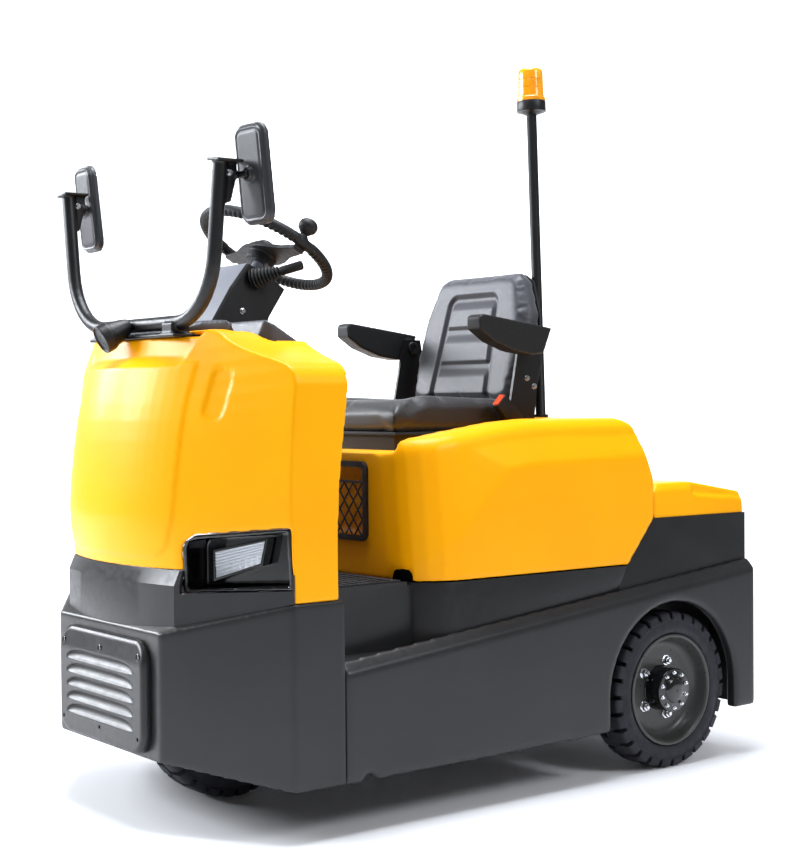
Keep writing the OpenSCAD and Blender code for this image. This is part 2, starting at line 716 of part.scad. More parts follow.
lamp_x = -23;
lamp_r = 35;
lamp_l = 82;
lamp_pitch = 28;
lamp_turn = -8;
module work_lamp() color(black) {
    difference() {
        translate([lamp_x, bar_y - bar_d / 2 + 1, bar_z + 2]) rotate([90 + lamp_pitch, 0, lamp_turn])
            rotate_extrude() polygon([[0, 0], [16, 0], [22, 14], [lamp_r - 4, 50], [lamp_r, 58],
                [lamp_r, lamp_l], [lamp_r - 3, lamp_l], [lamp_r - 3, lamp_l - 6], [0, lamp_l - 6]]);
        translate([0, bar_y, 0]) {
            translate([0, 0, bar_z]) rotate([0, 90, 0])
                cylinder(d = bar_d + seam_gap, h = 2 * notch_half, center = true);
            slab(-notch_half, notch_half, -foot_half - seam_gap, foot_half + seam_gap,
                notch_z - 1, notch_z + foot_t + seam_gap);
        }
    }
}

// Hood: rings along the tractor. Columns: place behind the hood's front, top drop, crease height as a
// share of the hood's height
hood_sections = [
    [0, 72, 0.05],
    [8, 58, 0.07],
    [22, 49, 0.1],
    [45, 43, 0.15],
    [80, 38, 0.22],
    [hood_corner_r, 30, 0.3],
    [hood_corner_r + 45, 24, 0.42],
    [hood_corner_r + 148, 9, 0.69],
    [hood_corner_r + 215, 3, 0.712],
    [hood_corner_r + 275, 0, 0.72]];
function corner_cut(d) = d < hood_corner_r ?
    hood_corner_r - sqrt(hood_corner_r * hood_corner_r - (hood_corner_r - d) * (hood_corner_r - d)) : 0;
hood_half = hood_w / 2;
hood_h = hood_top_z - hood_low_z;
shoulder_r = 44;
shoulder_n = 6;
function hood_side(half, low, crease, top, lean) = [
    [half, low], [half, crease],
    each [for (i = [0:shoulder_n]) let (a = 90 * i / shoulder_n)
        [half - lean - shoulder_r + shoulder_r * cos(a), top - shoulder_r + shoulder_r * sin(a)]]];
function hood_ring(y, half, low, crease, top, lean) =
    let (side = hood_side(half, low, crease, top, lean), n = len(side))
    [for (p = side) [p[0], y, p[1]], for (i = [n - 1:-1:0]) [-side[i][0], y, side[i][1]]];
module hood_loft(t, low) {
    ends = [for (s = hood_sections) hood_ring(hood_front_y + s[0] + t * max(0, 1 - s[0] / hood_corner_r),
        hood_half - corner_cut(s[0]) - t, low, hood_low_z + s[2] * hood_h, hood_top_z - s[1] - t, 26)];
    last = hood_ring(hood_rear_y + 5, hood_half - t, low, hood_low_z + 0.74 * hood_h, hood_top_z - t, 26);
    skin([for (r = concat(ends, [last])) [for (i = [len(r) - 1:-1:0]) r[i]]]);
}

module hood_profile(t) {
    rear = hood_rear_y - t;
    r = 62;
    across(-half_w, half_w) polygon([[hood_front_y - 10, hood_low_z - 60 * (t > 0 ? 1 : 0)],
        [seam_y - t, hood_low_z - 60 * (t > 0 ? 1 : 0)], [seam_y - t, hood_low_z], [rear, rear_top_z],
        [rear, hood_top_z - 160], [rear - 26, hood_top_z - 100],
        for (i = [0:5]) let (a = 12 + 13 * i) [rear - 36 - r + r * cos(a), hood_top_z - t - r + r * sin(a)],
        [rear - 36 - r, hood_top_z - t + 1], [hood_front_y - 10, hood_top_z - t + 1]]);
}

pocket_half = 275;
pocket_low_z = 646;
pocket_high_z = 836;
pocket_d = 40;
back_deck_y = seat_rear_y + 44;
module seat_recess(t) {
    slab(-recess_half - t, recess_half + t, hood_front_y - 50, back_deck_y + t,
        deck_z - t, hood_top_z + 100);
    slab(-pocket_half - t, pocket_half + t, panel_y - 1, panel_y + pocket_d + t, pocket_low_z - t,
        pocket_high_z - 14 + t);
}

grip_w = 56;
grip_h = 27;
grip_turn = 18;
module hood() color(yellow) {
    difference() {
        intersection() {
            hood_loft(0, hood_low_z);
            hood_profile(0);
        }
        difference() {
            intersection() {
                hood_loft(shell_t, hood_low_z - 60);
                hood_profile(shell_t);
            }
            seat_recess(shell_t);
        }
        seat_recess(0);
        // grips in the lower front corners
        both_sides() translate([hood_half - hood_corner_r, hood_front_y + hood_corner_r, hood_low_z])
            rotate([0, 0, grip_turn])
                slab(-grip_w / 2, grip_w / 2, -hood_corner_r - 20, 30 - hood_corner_r, -1, grip_h);
    }
}

lug_x = 280;
hinge_pin_r = 5;
lug_r = 9;
ear_r = 8;
module hood_lugs() color(black) {
    both_sides() difference() {
        union() {
            slab(lug_x - 14, lug_x + 14, hood_rear_y, hood_rear_y + 5, hinge_z - 46, hinge_z + 2);
            slab(lug_x - 14, lug_x + 14, hood_rear_y + 2, hinge_y, hinge_z - 6, hinge_z + 2);
            translate([lug_x - 14, hinge_y, hinge_z]) rotate([0, 90, 0]) cylinder(r = lug_r, h = 28);
        }
        translate([lug_x - 15, hinge_y, hinge_z]) rotate([0, 90, 0])
            cylinder(r = hinge_pin_r + pin_gap, h = 30);
    }
}

module hood_hinges() color(black) {
    both_sides() {
        for (x = [lug_x - 27, lug_x + 15]) {
            across(x, x + 12) polygon([[hinge_y, hinge_z - ear_r + 2], [hinge_y + 26, cover_top_z],
                [hinge_y + 70, cover_top_z], [hinge_y + 70, cover_top_z + 6],
                [hinge_y, hinge_z + ear_r - 1]]);
            translate([x, hinge_y, hinge_z]) rotate([0, 90, 0]) cylinder(r = ear_r, h = 12);
        }
        translate([lug_x - 27, hinge_y, hinge_z]) rotate([0, 90, 0]) cylinder(r = hinge_pin_r, h = 54);
    }
}

frame_t = 9;
frame_w = 2 * pocket_half + 24;
frame_h = pocket_high_z - pocket_low_z + 6;
frame_z = (pocket_high_z + pocket_low_z) / 2 - 6;
frame_bar = 14;
net_gap = 34;
net_pitch = 38;
net_cord = 3;
module net_pocket() color(black) {
    translate([0, panel_y, frame_z]) along(-frame_t, 0) difference() {
        rounded(frame_w, frame_h, 22);
        rounded(frame_w - 2 * frame_bar, frame_h - 2 * frame_bar, 12);
    }
}

// The net leaves a slot below the frame's top bar to put papers in
module pocket_net() color(black) {
    w = frame_w - 2 * frame_bar - seam_gap;
    h = frame_h - 2 * frame_bar - seam_gap;
    translate([0, panel_y, frame_z]) along(-5, -2) intersection() {
        rounded(w, h, 12);
        translate([-w / 2, -h / 2]) square([w, h - net_gap]);
        union() {
            for (s = [-1, 1], i = [-12:12])
                translate([i * net_pitch, 0]) rotate(s * 40) square([net_cord, 2 * frame_h], center = true);
            translate([-w / 2, h / 2 - net_gap - 6]) square([w, 6]);
        }
    }
}

module seat_base() color(black) {
    slab(-seat_w / 2 + 20, seat_w / 2 - 20, seat_y + 16, seat_rear_y - 10, deck_z, base_top_z - 8);
    across(-seat_w / 2 + 6, seat_w / 2 - 6) polygon([[seat_y + 8, base_top_z - 8],
        [seat_rear_y, base_top_z - 8], [seat_rear_y, base_top_z], [seat_y + 8, base_top_z]]);
    both_sides() across(arm_half - 34, arm_half - 26) polygon([[seat_rear_y - 122, base_top_z - 8],
        [seat_rear_y - 28, base_top_z - 8], [seat_rear_y - 22, seat_z - 44], [seat_rear_y, seat_z + 130],
        [seat_rear_y - 10, seat_z + 182], [seat_rear_y - 66, seat_z + 182],
        [seat_rear_y - 80, seat_z + 130]]);
    both_sides() slab(seat_w / 2 - 8, arm_half - 26, seat_rear_y - 122, seat_rear_y - 28,
        base_top_z - 8, base_top_z);
    both_sides() translate([arm_half - 30, arm_pivot[0], arm_pivot[1]]) rotate([0, 90, 0])
        cylinder(r = arm_pin_r, h = 28);
    // uprights behind the backrest's shell
    both_sides() {
        slab(90, 130, seat_rear_y - 40, back_deck_y - 8, base_top_z - 8, base_top_z);
        on_back() across(90, 130) polygon([[back_rear, 0], [back_rear - back_taper * 120, 120],
            [back_rear + 12, 120], [back_rear + 12, -62], [back_rear, -62]]);
    }
}

module seat_cushion() color("#2c2d31") {
    translate([0, seat_y, base_top_z]) intersection() {
        across(-seat_w / 2, seat_w / 2) polygon([[10, 0], [seat_d - 60, 0], [seat_d - 60, 56],
            [seat_d - 120, 60], [120, 70], [60, cushion_t], [20, 66], [0, 46], [0, 12]]);
        along(-1, seat_d) polygon([[-seat_w / 2 + 10, 0], [seat_w / 2 - 10, 0], [seat_w / 2, 16],
            [seat_w / 2, 52], [seat_w / 2 - 26, cushion_t], [-seat_w / 2 + 26, cushion_t],
            [-seat_w / 2, 52], [-seat_w / 2, 16]]);
    }
}

back_y = seat_rear_y - 62;
back_low_z = seat_z - 12;
back_t = 74;
back_top_t = 30;
back_shell_t = 8;
back_rear = back_t + back_shell_t;
back_taper = (back_t - back_top_t) / back_h;
module on_back() {
    translate([0, back_y, back_low_z]) rotate([-back_tilt, 0, 0]) children();
}
module back_outline(t) {
    w = seat_w / 2 - t;
    polygon([[-w + 50, t], [w - 50, t], [w - 22, 30], [w - 4, 130], [w - 18, back_h - 120],
        [w - 58, back_h - 26], [w - 90, back_h - t], [-w + 90, back_h - t], [-w + 58, back_h - 26],
        [-w + 18, back_h - 120], [-w + 4, 130], [-w + 22, 30]]);
}
module seat_back() color("#2c2d31") {
    on_back() intersection() {
        across(-seat_w / 2, seat_w / 2) polygon([[8, 0], [back_t, 0], [back_top_t, back_h], [12, back_h],
            [3, back_h - 8], [0, back_h - 26], [0, 20]]);
        along(-1, back_t + 1) back_outline(0);
    }
}
module seat_shell() color(black) {
    on_back() intersection() {
        across(-seat_w / 2, seat_w / 2) polygon([[back_t, 0], [back_t + back_shell_t, 0],
            [back_top_t + back_shell_t, back_h], [back_top_t, back_h]]);
        along(-1, back_t + 50) back_outline(8);
    }
}

arm_pivot = [seat_rear_y - 39, seat_z + 159];
arm_l = 222;
arm_pin_r = 8;
module armrest() {
    translate([0, arm_pivot[0], arm_pivot[1]]) difference() {
        union() {
            across(arm_half - 20, arm_half + 34) polygon([[-1, -32], [28, 36], [-29, 44], [12 - arm_l, 68],
                [-arm_l, 60], [2 - arm_l, 28], [50 - arm_l, -3], [118 - arm_l, -27], [-38, -36]]);
            translate([arm_half - 26 + seam_gap, 0, 0]) rotate([0, 90, 0]) cylinder(r = 24, h = 10);
        }
        translate([arm_half - 30, 0, 0]) rotate([0, 90, 0]) cylinder(r = arm_pin_r + pin_gap, h = 29);
    }
}
module armrest_left() color(black) armrest();
module armrest_right() color(black) mirror([1, 0, 0]) armrest();

module belt_buckle() color(black) {
    translate([arm_half - 26, seat_rear_y - 104, base_top_z]) {
        slab(0, 14, -8, 12, 14, 34);
        translate([16, 2, 22]) rotate([46, 0, 0]) slab(-11, 13, -20, 20, 0, 82);
    }
}

module belt_retractor() color(black) {
    translate([-seat_w / 2, seat_rear_y - 166, base_top_z]) {
        slab(-32, 6, -40, 40, -8, 0);
        slab(-32, -4, -40, 40, -1, 40);
        translate([-32, 0, 42]) rotate([0, 90, 0]) cylinder(r = 34, h = 28);
    }
}

mast_x = 168;
mast_y = seat_rear_y + 83;
mast_lean = 2.1;
beacon_base_h = 36;
beacon_d = 80;
beacon_lens_h = 92;
module on_mast(h) {
    translate([mast_x, mast_y, hood_top_z]) rotate([0, -mast_lean, 0]) translate([0, 0, h]) children();
}
module beacon_mast() color(black) {
    translate([mast_x, mast_y, hood_top_z]) cylinder(r = 21, h = 8);
    difference() {
        on_mast(-20) cylinder(d = mast_d, h = mast_h + 21);
        slab(0, 300, mast_y - 50, mast_y + 50, hood_top_z - 60, hood_top_z + 4);
    }
    on_mast(mast_h) {
        cylinder(d1 = mast_d + 8, d2 = beacon_d - 10, h = 8);
        translate([0, 0, 8]) cylinder(d = beacon_d, h = beacon_base_h - 8);
    }
}
module beacon_lens() color("#ff9d00") {
    on_mast(mast_h + beacon_base_h) rotate_extrude() polygon([[0, 0], [beacon_d / 2 - 2, 0],
        [beacon_d / 2 - 2, 12], [beacon_d / 2 - 4, 14], [beacon_d / 2 - 6, beacon_lens_h - 8],
        [beacon_d / 2 - 12, beacon_lens_h], [0, beacon_lens_h]]);
}

module rear_cover() color(yellow) {
    w = wall_x - 3;
    difference() {
        intersection() {
            across(-w, w) polygon([[cover_front_y, rear_top_z], [rear_y - 2, rear_top_z],
                [rear_y - 4, cover_top_z - 34], [rear_y - 206, cover_top_z],
                [cover_front_y + 24, cover_top_z], [cover_front_y, cover_top_z - 26]]);
            along(cover_front_y, rear_y) polygon([[-w, rear_top_z], [w, rear_top_z],
                [w - 2, cover_top_z - 20], [w - 14, cover_top_z],
                [-w + 14, cover_top_z], [-w + 2, cover_top_z - 20]]);
        }
        slab(-w + shell_t, w - shell_t, cover_front_y + shell_t, rear_y - 4 - shell_t,
            rear_top_z - 1, cover_top_z - 34 - shell_t);
        both_sides() across(w - 12, w + 1) polygon([[rear_y - 206, cover_top_z - 34],
            [rear_y + 1, cover_top_z - 54], [rear_y + 1, cover_top_z + 1], [rear_y - 212, cover_top_z + 1]]);
    }
}

module rear_lamps() color("#b3221c") {
    both_sides() translate([wall_x - 80, rear_y, rear_top_z - 60]) rotate([-90, 0, 0]) {
        cylinder(r = 40, h = 10);
        translate([0, 0, 9]) cylinder(r1 = 36, r2 = 30, h = 12);
    }
}

hitch_half = 58;
hitch_t = 16;
hitch_n = 3;
hitch_pin_y = overall_l / 2 - 50;
hitch_top_z = hitch_low_z + hitch_n * hitch_t + (hitch_n - 1) * hitch_gap;
module tow_hitch() color(grey) {
    difference() {
        union() {
            slab(-100, 100, rear_y, rear_y + 18, hitch_low_z - 20, hitch_top_z + 20);
            for (i = [0:hitch_n - 1]) {
                z = hitch_low_z + i * (hitch_t + hitch_gap);
                slab(-hitch_half, hitch_half, rear_y + 17, hitch_pin_y, z, z + hitch_t);
                translate([0, hitch_pin_y, z]) intersection() {
                    cylinder(r = hitch_half, h = hitch_t);
                    slab(-hitch_half, hitch_half, -1, 50, 0, hitch_t);
                }
            }
        }
        translate([0, hitch_pin_y, 0]) cylinder(r = tow_pin_d / 2 + pin_gap, h = hitch_top_z + 50);
    }
}

module tow_pin() color("silver") {
    translate([0, hitch_pin_y, 0]) {
        translate([0, 0, hitch_low_z - 8]) cylinder(d = tow_pin_d, h = hitch_top_z - hitch_low_z + 30);
        translate([0, 0, hitch_top_z + 0.3]) cylinder(d = tow_pin_d + 18, h = 10);
        translate([0, 0, hitch_top_z + 40]) rotate([0, 90, 0])
            rotate_extrude() translate([24, 0]) circle(d = 10, $fn = 32);
    }
}

spindle_r = 30;
spindle_x = wheel_x + 30;
axle_r = 46;
flange_x = wheel_x - 80;
module rear_axle() color(black) {
    translate([0, rear_axle_y, axle_z]) {
        rotate([0, 90, 0]) rotate_extrude() polygon([[0, -spindle_x], [spindle_r, -spindle_x],
            [spindle_r, -flange_x - 20], [92, -flange_x - 20], [92, -flange_x], [axle_r, -flange_x],
            [axle_r, -110], [80, -76], [96, -30], [96, 30], [80, 76], [axle_r, 110], [axle_r, flange_x],
            [92, flange_x], [92, flange_x + 20], [spindle_r, flange_x + 20], [spindle_r, spindle_x],
            [0, spindle_x]]);
        both_sides() slab(210, 290, -50, 50, 0, rear_floor_z - axle_z);
        rotate([-90, 0, 0]) cylinder(r = 68, h = 250);
    }
}

module battery() color("#33413a") {
    half = wall_x - battery_side_gap;
    slab(-half, half, panel_y + pocket_d + shell_t + 8, well_y - plate_t - battery_end_gap,
        bay_floor_z + plate_t, bay_floor_z + plate_t + battery_h);
}

// Tyre about the Z axis, centred on its width
module tyre() {
    h = tyre_w / 2;
    r = rim_d / 2 - 2;
    rotate_extrude() polygon([[r, -h + 8], [r + 8, -h + 3], [r + 32, -h], [tyre_r - 10, -h + 2],
        [tyre_r, -h + 10], [tyre_r, h - 10], [tyre_r - 10, h - 2], [r + 32, h], [r + 8, h - 3], [r, h - 8]]);
}

flange_r = rim_d / 2;
bead_gap = 2.3;
lip_x = tyre_w / 2 - 2;
disc_x = lip_x - disc_depth;
hub_x = lip_x + 12;
cap_r = 92;
cap_rise = 7;
nut_n = 5;
nut_pcd = 150;
module rear_wheel() {
    difference() {
        union() {
            rotate_extrude() polygon([[0, disc_x - 8], [flange_r - 12, disc_x - 8],
                [flange_r - 12, 8 - lip_x], [flange_r - 10, -lip_x], [flange_r - bead_gap, -lip_x],
                [flange_r - bead_gap, lip_x - 6], [flange_r, lip_x - 4], [flange_r - 3, lip_x],
                [flange_r - 8, lip_x], [flange_r - 11, lip_x - 5], [flange_r - 20, disc_x + 14],
                [flange_r - 32, disc_x], [0, disc_x]]);
            translate([0, 0, disc_x - 26]) cylinder(r = 70, h = 19);
            translate([0, 0, disc_x - 1]) cylinder(d = hub_d, h = hub_x - disc_x + 1);
            translate([0, 0, hub_x - 1]) intersection() {
                translate([0, 0, cap_rise - cap_r]) sphere(r = cap_r, $fn = 64);
                cylinder(r = 30, h = 40);
            }
            for (i = [0:nut_n - 1]) rotate([0, 0, 90 + i * 360 / nut_n])
                translate([nut_pcd / 2, 0, disc_x - 1]) {
                    cylinder(r = 11, h = 13, $fn = 6);
                    cylinder(r = 6, h = 19);
                }
            for (i = [0:9]) rotate([0, 0, 36 * i]) translate([47, 0, hub_x - 1]) cylinder(r = 5, h = 5);
        }
        translate([0, 0, disc_x - 30])
            cylinder(r = spindle_r + pin_gap, h = spindle_x - wheel_x - disc_x + 32);
    }
}

module at_rear_wheel() translate([wheel_x, rear_axle_y, axle_z]) rotate([0, 90, 0]) children();
module rear_tyre_left() color(black) at_rear_wheel() tyre();
module rear_wheel_left() color(grey) at_rear_wheel() rear_wheel();
module rear_tyre_right() color(black) mirror([1, 0, 0]) at_rear_wheel() tyre();
module rear_wheel_right() color(grey) mirror([1, 0, 0]) at_rear_wheel() rear_wheel();

fork_gap = 14;
fork_t = 18;
front_pin_r = 15;
fork_x = tyre_w / 2 + fork_gap;
yoke_z = tyre_d + 18;
module front_fork() color(black) {
    translate([0, front_axle_y, 0]) {
        slab(-fork_x - fork_t, fork_x + fork_t, -60, 60, yoke_z, yoke_z + 30);
        both_sides() across(fork_x, fork_x + fork_t) polygon([[-60, yoke_z + 30], [-60, yoke_z - 30],
            [-34, axle_z + 20], [-34, axle_z - 20], [-20, axle_z - 34], [20, axle_z - 34], [34, axle_z - 20],
            [34, axle_z + 20], [60, yoke_z - 30], [60, yoke_z + 30]]);
        translate([0, 0, yoke_z + 29]) cylinder(r = king_r, h = shoulder_z - 8 - yoke_z - 29);
        translate([0, 0, axle_z]) rotate([0, 90, 0])
            cylinder(r = front_pin_r, h = 2 * (fork_x + fork_t + 8), center = true);
    }
}

module at_front_wheel() translate([0, front_axle_y, axle_z]) rotate([0, 90, 0]) children();
module front_tyre() color(black) at_front_wheel() tyre();
module front_wheel() color(grey) at_front_wheel() {
    difference() {
        union() {
            rotate_extrude() polygon([[30, -7], [flange_r - 14, -7], [flange_r - 11, -lip_x],
                [flange_r - bead_gap, -lip_x], [flange_r - bead_gap, lip_x],
                [flange_r - 11, lip_x], [flange_r - 14, 7], [30, 7]]);
            cylinder(r = 46, h = 2 * (fork_x - 6), center = true);
        }
        cylinder(r = front_pin_r + pin_gap, h = 3 * fork_x, center = true);
    }
}

bumper();
front_cover();
sills();
battery_bay();
rear_body();
floor_pan();
floor_mat();
nose();
cowl();
headlamp_housings();
headlamp_lenses();
dash();
steering_column();
shift_lever();
pedals();
steering_wheel();
mirror_bar();
mirror_housings();
mirror_glasses();
work_lamp();
hood();
hood_lugs();
hood_hinges();
net_pocket();
pocket_net();
seat_base();
seat_cushion();
seat_back();
seat_shell();
armrest_left();
armrest_right();
belt_buckle();
belt_retractor();
beacon_mast();
beacon_lens();
rear_cover();
rear_lamps();
tow_hitch();
tow_pin();
rear_axle();
battery();
rear_tyre_left();
rear_wheel_left();
rear_tyre_right();
rear_wheel_right();
front_fork();
front_tyre();
front_wheel();
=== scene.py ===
import bpy
import bmesh
import math
from mathutils import Matrix, Vector


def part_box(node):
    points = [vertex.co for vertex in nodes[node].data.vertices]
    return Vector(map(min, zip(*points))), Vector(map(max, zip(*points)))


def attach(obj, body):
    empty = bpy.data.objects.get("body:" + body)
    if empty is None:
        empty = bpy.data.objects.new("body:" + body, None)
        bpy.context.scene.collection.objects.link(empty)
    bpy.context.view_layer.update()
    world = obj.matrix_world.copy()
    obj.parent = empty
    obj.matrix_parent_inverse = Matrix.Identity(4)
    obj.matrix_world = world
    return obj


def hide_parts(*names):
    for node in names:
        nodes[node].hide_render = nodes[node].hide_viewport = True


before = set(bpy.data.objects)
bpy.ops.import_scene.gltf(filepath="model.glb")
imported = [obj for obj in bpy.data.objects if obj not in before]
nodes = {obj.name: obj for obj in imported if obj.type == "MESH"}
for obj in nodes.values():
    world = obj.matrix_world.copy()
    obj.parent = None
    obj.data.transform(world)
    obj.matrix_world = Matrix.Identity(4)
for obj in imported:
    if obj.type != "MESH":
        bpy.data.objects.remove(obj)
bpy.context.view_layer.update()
scene = bpy.context.scene
print("frame loaded:", len(nodes), "nodes")

# camera, fitted to the photograph
camera = {"place": (3.47477, -2.67730, 0.98264), "yaw": 0.919323, "pitch": 0.020626,
          "roll": -0.007545, "lens": 67.06, "sensor": 36, "far": 60}


def aimCamera():
    yaw, pitch, roll = camera["yaw"], camera["pitch"], camera["roll"]
    ahead = Vector((-math.sin(yaw) * math.cos(pitch), math.cos(yaw) * math.cos(pitch), -math.sin(pitch)))
    level = Vector((math.cos(yaw), math.sin(yaw), 0))
    rise = level.cross(ahead)
    right = math.cos(roll) * level + math.sin(roll) * rise
    up = -math.sin(roll) * level + math.cos(roll) * rise
    turn = Matrix((right, up, -ahead)).transposed().to_4x4()
    bpy.ops.object.camera_add()
    made = bpy.context.object
    made.matrix_world = Matrix.Translation(camera["place"]) @ turn
    made.data.lens = camera["lens"]
    made.data.sensor_width = camera["sensor"]
    made.data.clip_end = camera["far"]
    scene.camera = made


aimCamera()

# making tools
def pickNone():
    if bpy.context.mode != "OBJECT":
        bpy.ops.object.mode_set(mode="OBJECT")
    bpy.ops.object.select_all(action="DESELECT")


def hold(piece):
    pickNone()
    piece.select_set(True)
    bpy.context.view_layer.objects.active = piece


def editAll(piece):
    hold(piece)
    bpy.ops.object.mode_set(mode="EDIT")
    bpy.ops.mesh.select_mode(type="VERT")
    bpy.ops.mesh.select_all(action="SELECT")


def choose(piece, kind, test):
    bpy.ops.mesh.select_mode(type=kind)
    bpy.ops.mesh.select_all(action="DESELECT")
    mesh = bmesh.from_edit_mesh(piece.data)
    group = {"VERT": mesh.verts, "EDGE": mesh.edges, "FACE": mesh.faces}[kind]
    for part in group:
        if test(part):
            part.select_set(True)
    bmesh.update_edit_mesh(piece.data)


def use(piece, kind, **settings):
    change = piece.modifiers.new(kind.lower(), kind)
    for key, value in settings.items():
        setattr(change, key, value)
    hold(piece)
    bpy.ops.object.modifier_apply(modifier=change.name)


# studio: pale floor, white surroundings and soft lights, each with name, place, target, size and watts
studio = {"floorTone": (0.93, 0.93, 0.94, 1), "floorRough": 0.8, "floorSize": 60, "world": 0.24,
          "lampTone": (0.9, 0.94, 1.0), "wallAway": 9.5, "wallHigh": 9, "wallCurve": 4.5,
          "lamps": [("keyLamp", (-3.8, -4.9, 3.2), (0, -0.5, 0.7), 2.2, 430),
                    ("leftLamp", (-5.2, -2.6, 2.9), (0, -0.6, 0.5), 2.2, 230),
                    ("sideLamp", (5.0, 1.4, 4.4), (0.3, 0.2, 0.7), 2.2, 125),
                    ("topLamp", (0.2, -0.2, 4.6), (0, 0, 0.5), 2.6, 300),
                    ("wallLamp", (-4.2, 3.2, 5.0), (-6.0, 5.0, 1.5), 3.0, 520)]}


def lightStudio():
    turn = camera["yaw"]
    back = Vector((-math.sin(turn), math.cos(turn), 0))
    floorSize, wallAway = studio["floorSize"], studio["wallAway"]
    bpy.ops.mesh.primitive_plane_add(size=floorSize, location=back * (wallAway - floorSize / 2),
                                     rotation=(0, 0, turn))
    floor = bpy.context.object
    floor.name = "studioFloor"
    bpy.ops.object.transform_apply(location=True, rotation=True)
    bpy.ops.object.mode_set(mode="EDIT")
    choose(floor, "EDGE", lambda e: all(v.co.dot(back) > wallAway - 0.1 for v in e.verts))
    bpy.ops.mesh.extrude_region_move(TRANSFORM_OT_translate={"value": (0, 0, studio["wallHigh"])})
    choose(floor, "EDGE", lambda e: all(abs(v.co.z) < 0.01 and v.co.dot(back) > wallAway - 0.1
                                        for v in e.verts))
    bpy.ops.mesh.bevel(offset=studio["wallCurve"], segments=16, affect="EDGES")
    bpy.ops.object.mode_set(mode="OBJECT")
    bpy.ops.object.shade_smooth()
    tone = bpy.data.materials.new("paleFloor")
    tone.use_nodes = True
    sockets = tone.node_tree.nodes["Principled BSDF"].inputs
    sockets["Base Color"].default_value = studio["floorTone"]
    sockets["Roughness"].default_value = studio["floorRough"]
    floor.data.materials.append(tone)
    for name, place, target, size, power in studio["lamps"]:
        bpy.ops.object.light_add(type="AREA", location=place)
        light = bpy.context.object
        light.name = name
        light.data.shape = "DISK"
        light.data.size = size
        light.data.energy = power
        light.data.color = studio["lampTone"]
        light.rotation_euler = (Vector(target) - Vector(place)).to_track_quat("-Z", "Y").to_euler()
    world = bpy.data.worlds.new("whiteRoom")
    world.use_nodes = True
    sockets = world.node_tree.nodes["Background"].inputs
    sockets["Color"].default_value = (1, 1, 1, 1)
    sockets["Strength"].default_value = studio["world"]
    scene.world = world
    scene.view_settings.view_transform = "Standard"


lightStudio()
print("camera and studio ready")


# materials: a Wire is one output socket, and arithmetic on it adds Math nodes
class Wire:
    def __init__(self, paint, socket):
        self.paint = paint
        self.socket = socket

    def worked(self, operation, a, b):
        return self.paint.node("ShaderNodeMath", {"operation": operation}, {0: a, 1: b})

    def __add__(self, other):
        return self.worked("ADD", self, other)

    def __mul__(self, other):
        return self.worked("MULTIPLY", self, other)

    __radd__ = __add__
    __rmul__ = __mul__


class Paint:
    def __init__(self, name):
        self.material = bpy.data.materials.new(name)
        self.material.use_nodes = True
        self.tree = self.material.node_tree
        self.tree.nodes.clear()
        self.place = self.node("ShaderNodeTexCoord", {}, {}, "Object")

    def node(self, kind, settings, inputs, output=0):
        made = self.tree.nodes.new(kind)
        for key, value in settings.items():
            setattr(made, key, value)
        for key, value in inputs.items():
            if isinstance(value, Wire):
                self.tree.links.new(value.socket, made.inputs[key])
            else:
                made.inputs[key].default_value = value
        return Wire(self, made.outputs[output])

    def noise(self, scale, detail=2.0, rough=0.5):
        return self.node("ShaderNodeTexNoise", {}, {"Vector": self.place, "Scale": scale,
                                                    "Detail": detail, "Roughness": rough})

    def cells(self, scale):
        return self.node("ShaderNodeTexVoronoi", {"feature": "SMOOTH_F1"}, {"Vector": self.place,
                                                                            "Scale": scale}, "Distance")

    def band(self, value, low, high, first=0.0, last=1.0):
        return self.node("ShaderNodeMapRange", {}, {"Value": value, "From Min": low, "From Max": high,
                                                    "To Min": first, "To Max": last})

    def axis(self, which):
        return self.node("ShaderNodeSeparateXYZ", {}, {0: self.place}, which)

    def blend(self, share, first, second):
        return self.node("ShaderNodeMix", {"data_type": "RGBA"}, {0: share, 6: first, 7: second}, 2)

    def bump(self, height, strength, depth, under=None):
        inputs = {"Height": height, "Strength": strength, "Distance": depth}
        if under:
            inputs["Normal"] = under
        return self.node("ShaderNodeBump", {}, inputs)

    def done(self, **sockets):
        named = {key.replace("_", " "): value for key, value in sockets.items()}
        shader = self.node("ShaderNodeBsdfPrincipled", {}, named)
        out = self.tree.nodes.new("ShaderNodeOutputMaterial")
        self.tree.links.new(shader.socket, out.inputs["Surface"])
        return self.material


def tint(r, g, b):
    shares = [c / 255 for c in (r, g, b)]
    return tuple(((s + 0.055) / 1.055) ** 2.4 if s > 0.04 else s / 12.92 for s in shares) + (1,)


def amberPaint():
    p = Paint("amberPaint")
    cloud = p.noise(2.3, 3)
    grain = p.noise(900, 2)
    tone = p.blend(p.band(cloud, 0.35, 0.65), tint(255, 170, 0), tint(255, 178, 0))
    rough = p.band(p.noise(160, 3), 0.3, 0.7, 0.34, 0.42)
    peel = p.bump(p.noise(420, 1) * 0.7 + grain * 0.3, 0.06, 0.0004)
    return p.done(Base_Color=tone, Roughness=rough, Normal=peel, Specular_IOR_Level=0.15, Coat_Weight=0.04,
                  Coat_Roughness=0.12)


def chassisPaint(name, low, high, rough):
    p = Paint(name)
    cloud = p.noise(3.1, 4)
    grain = p.noise(1300, 2, 0.6)
    tone = p.blend(p.band(cloud, 0.3, 0.7), low, high)
    dull = p.band(p.noise(60, 4), 0.3, 0.7, rough - 0.04, rough + 0.06)
    return p.done(Base_Color=tone, Roughness=dull, Normal=p.bump(grain, 0.12, 0.0003),
                  Specular_IOR_Level=0.4)


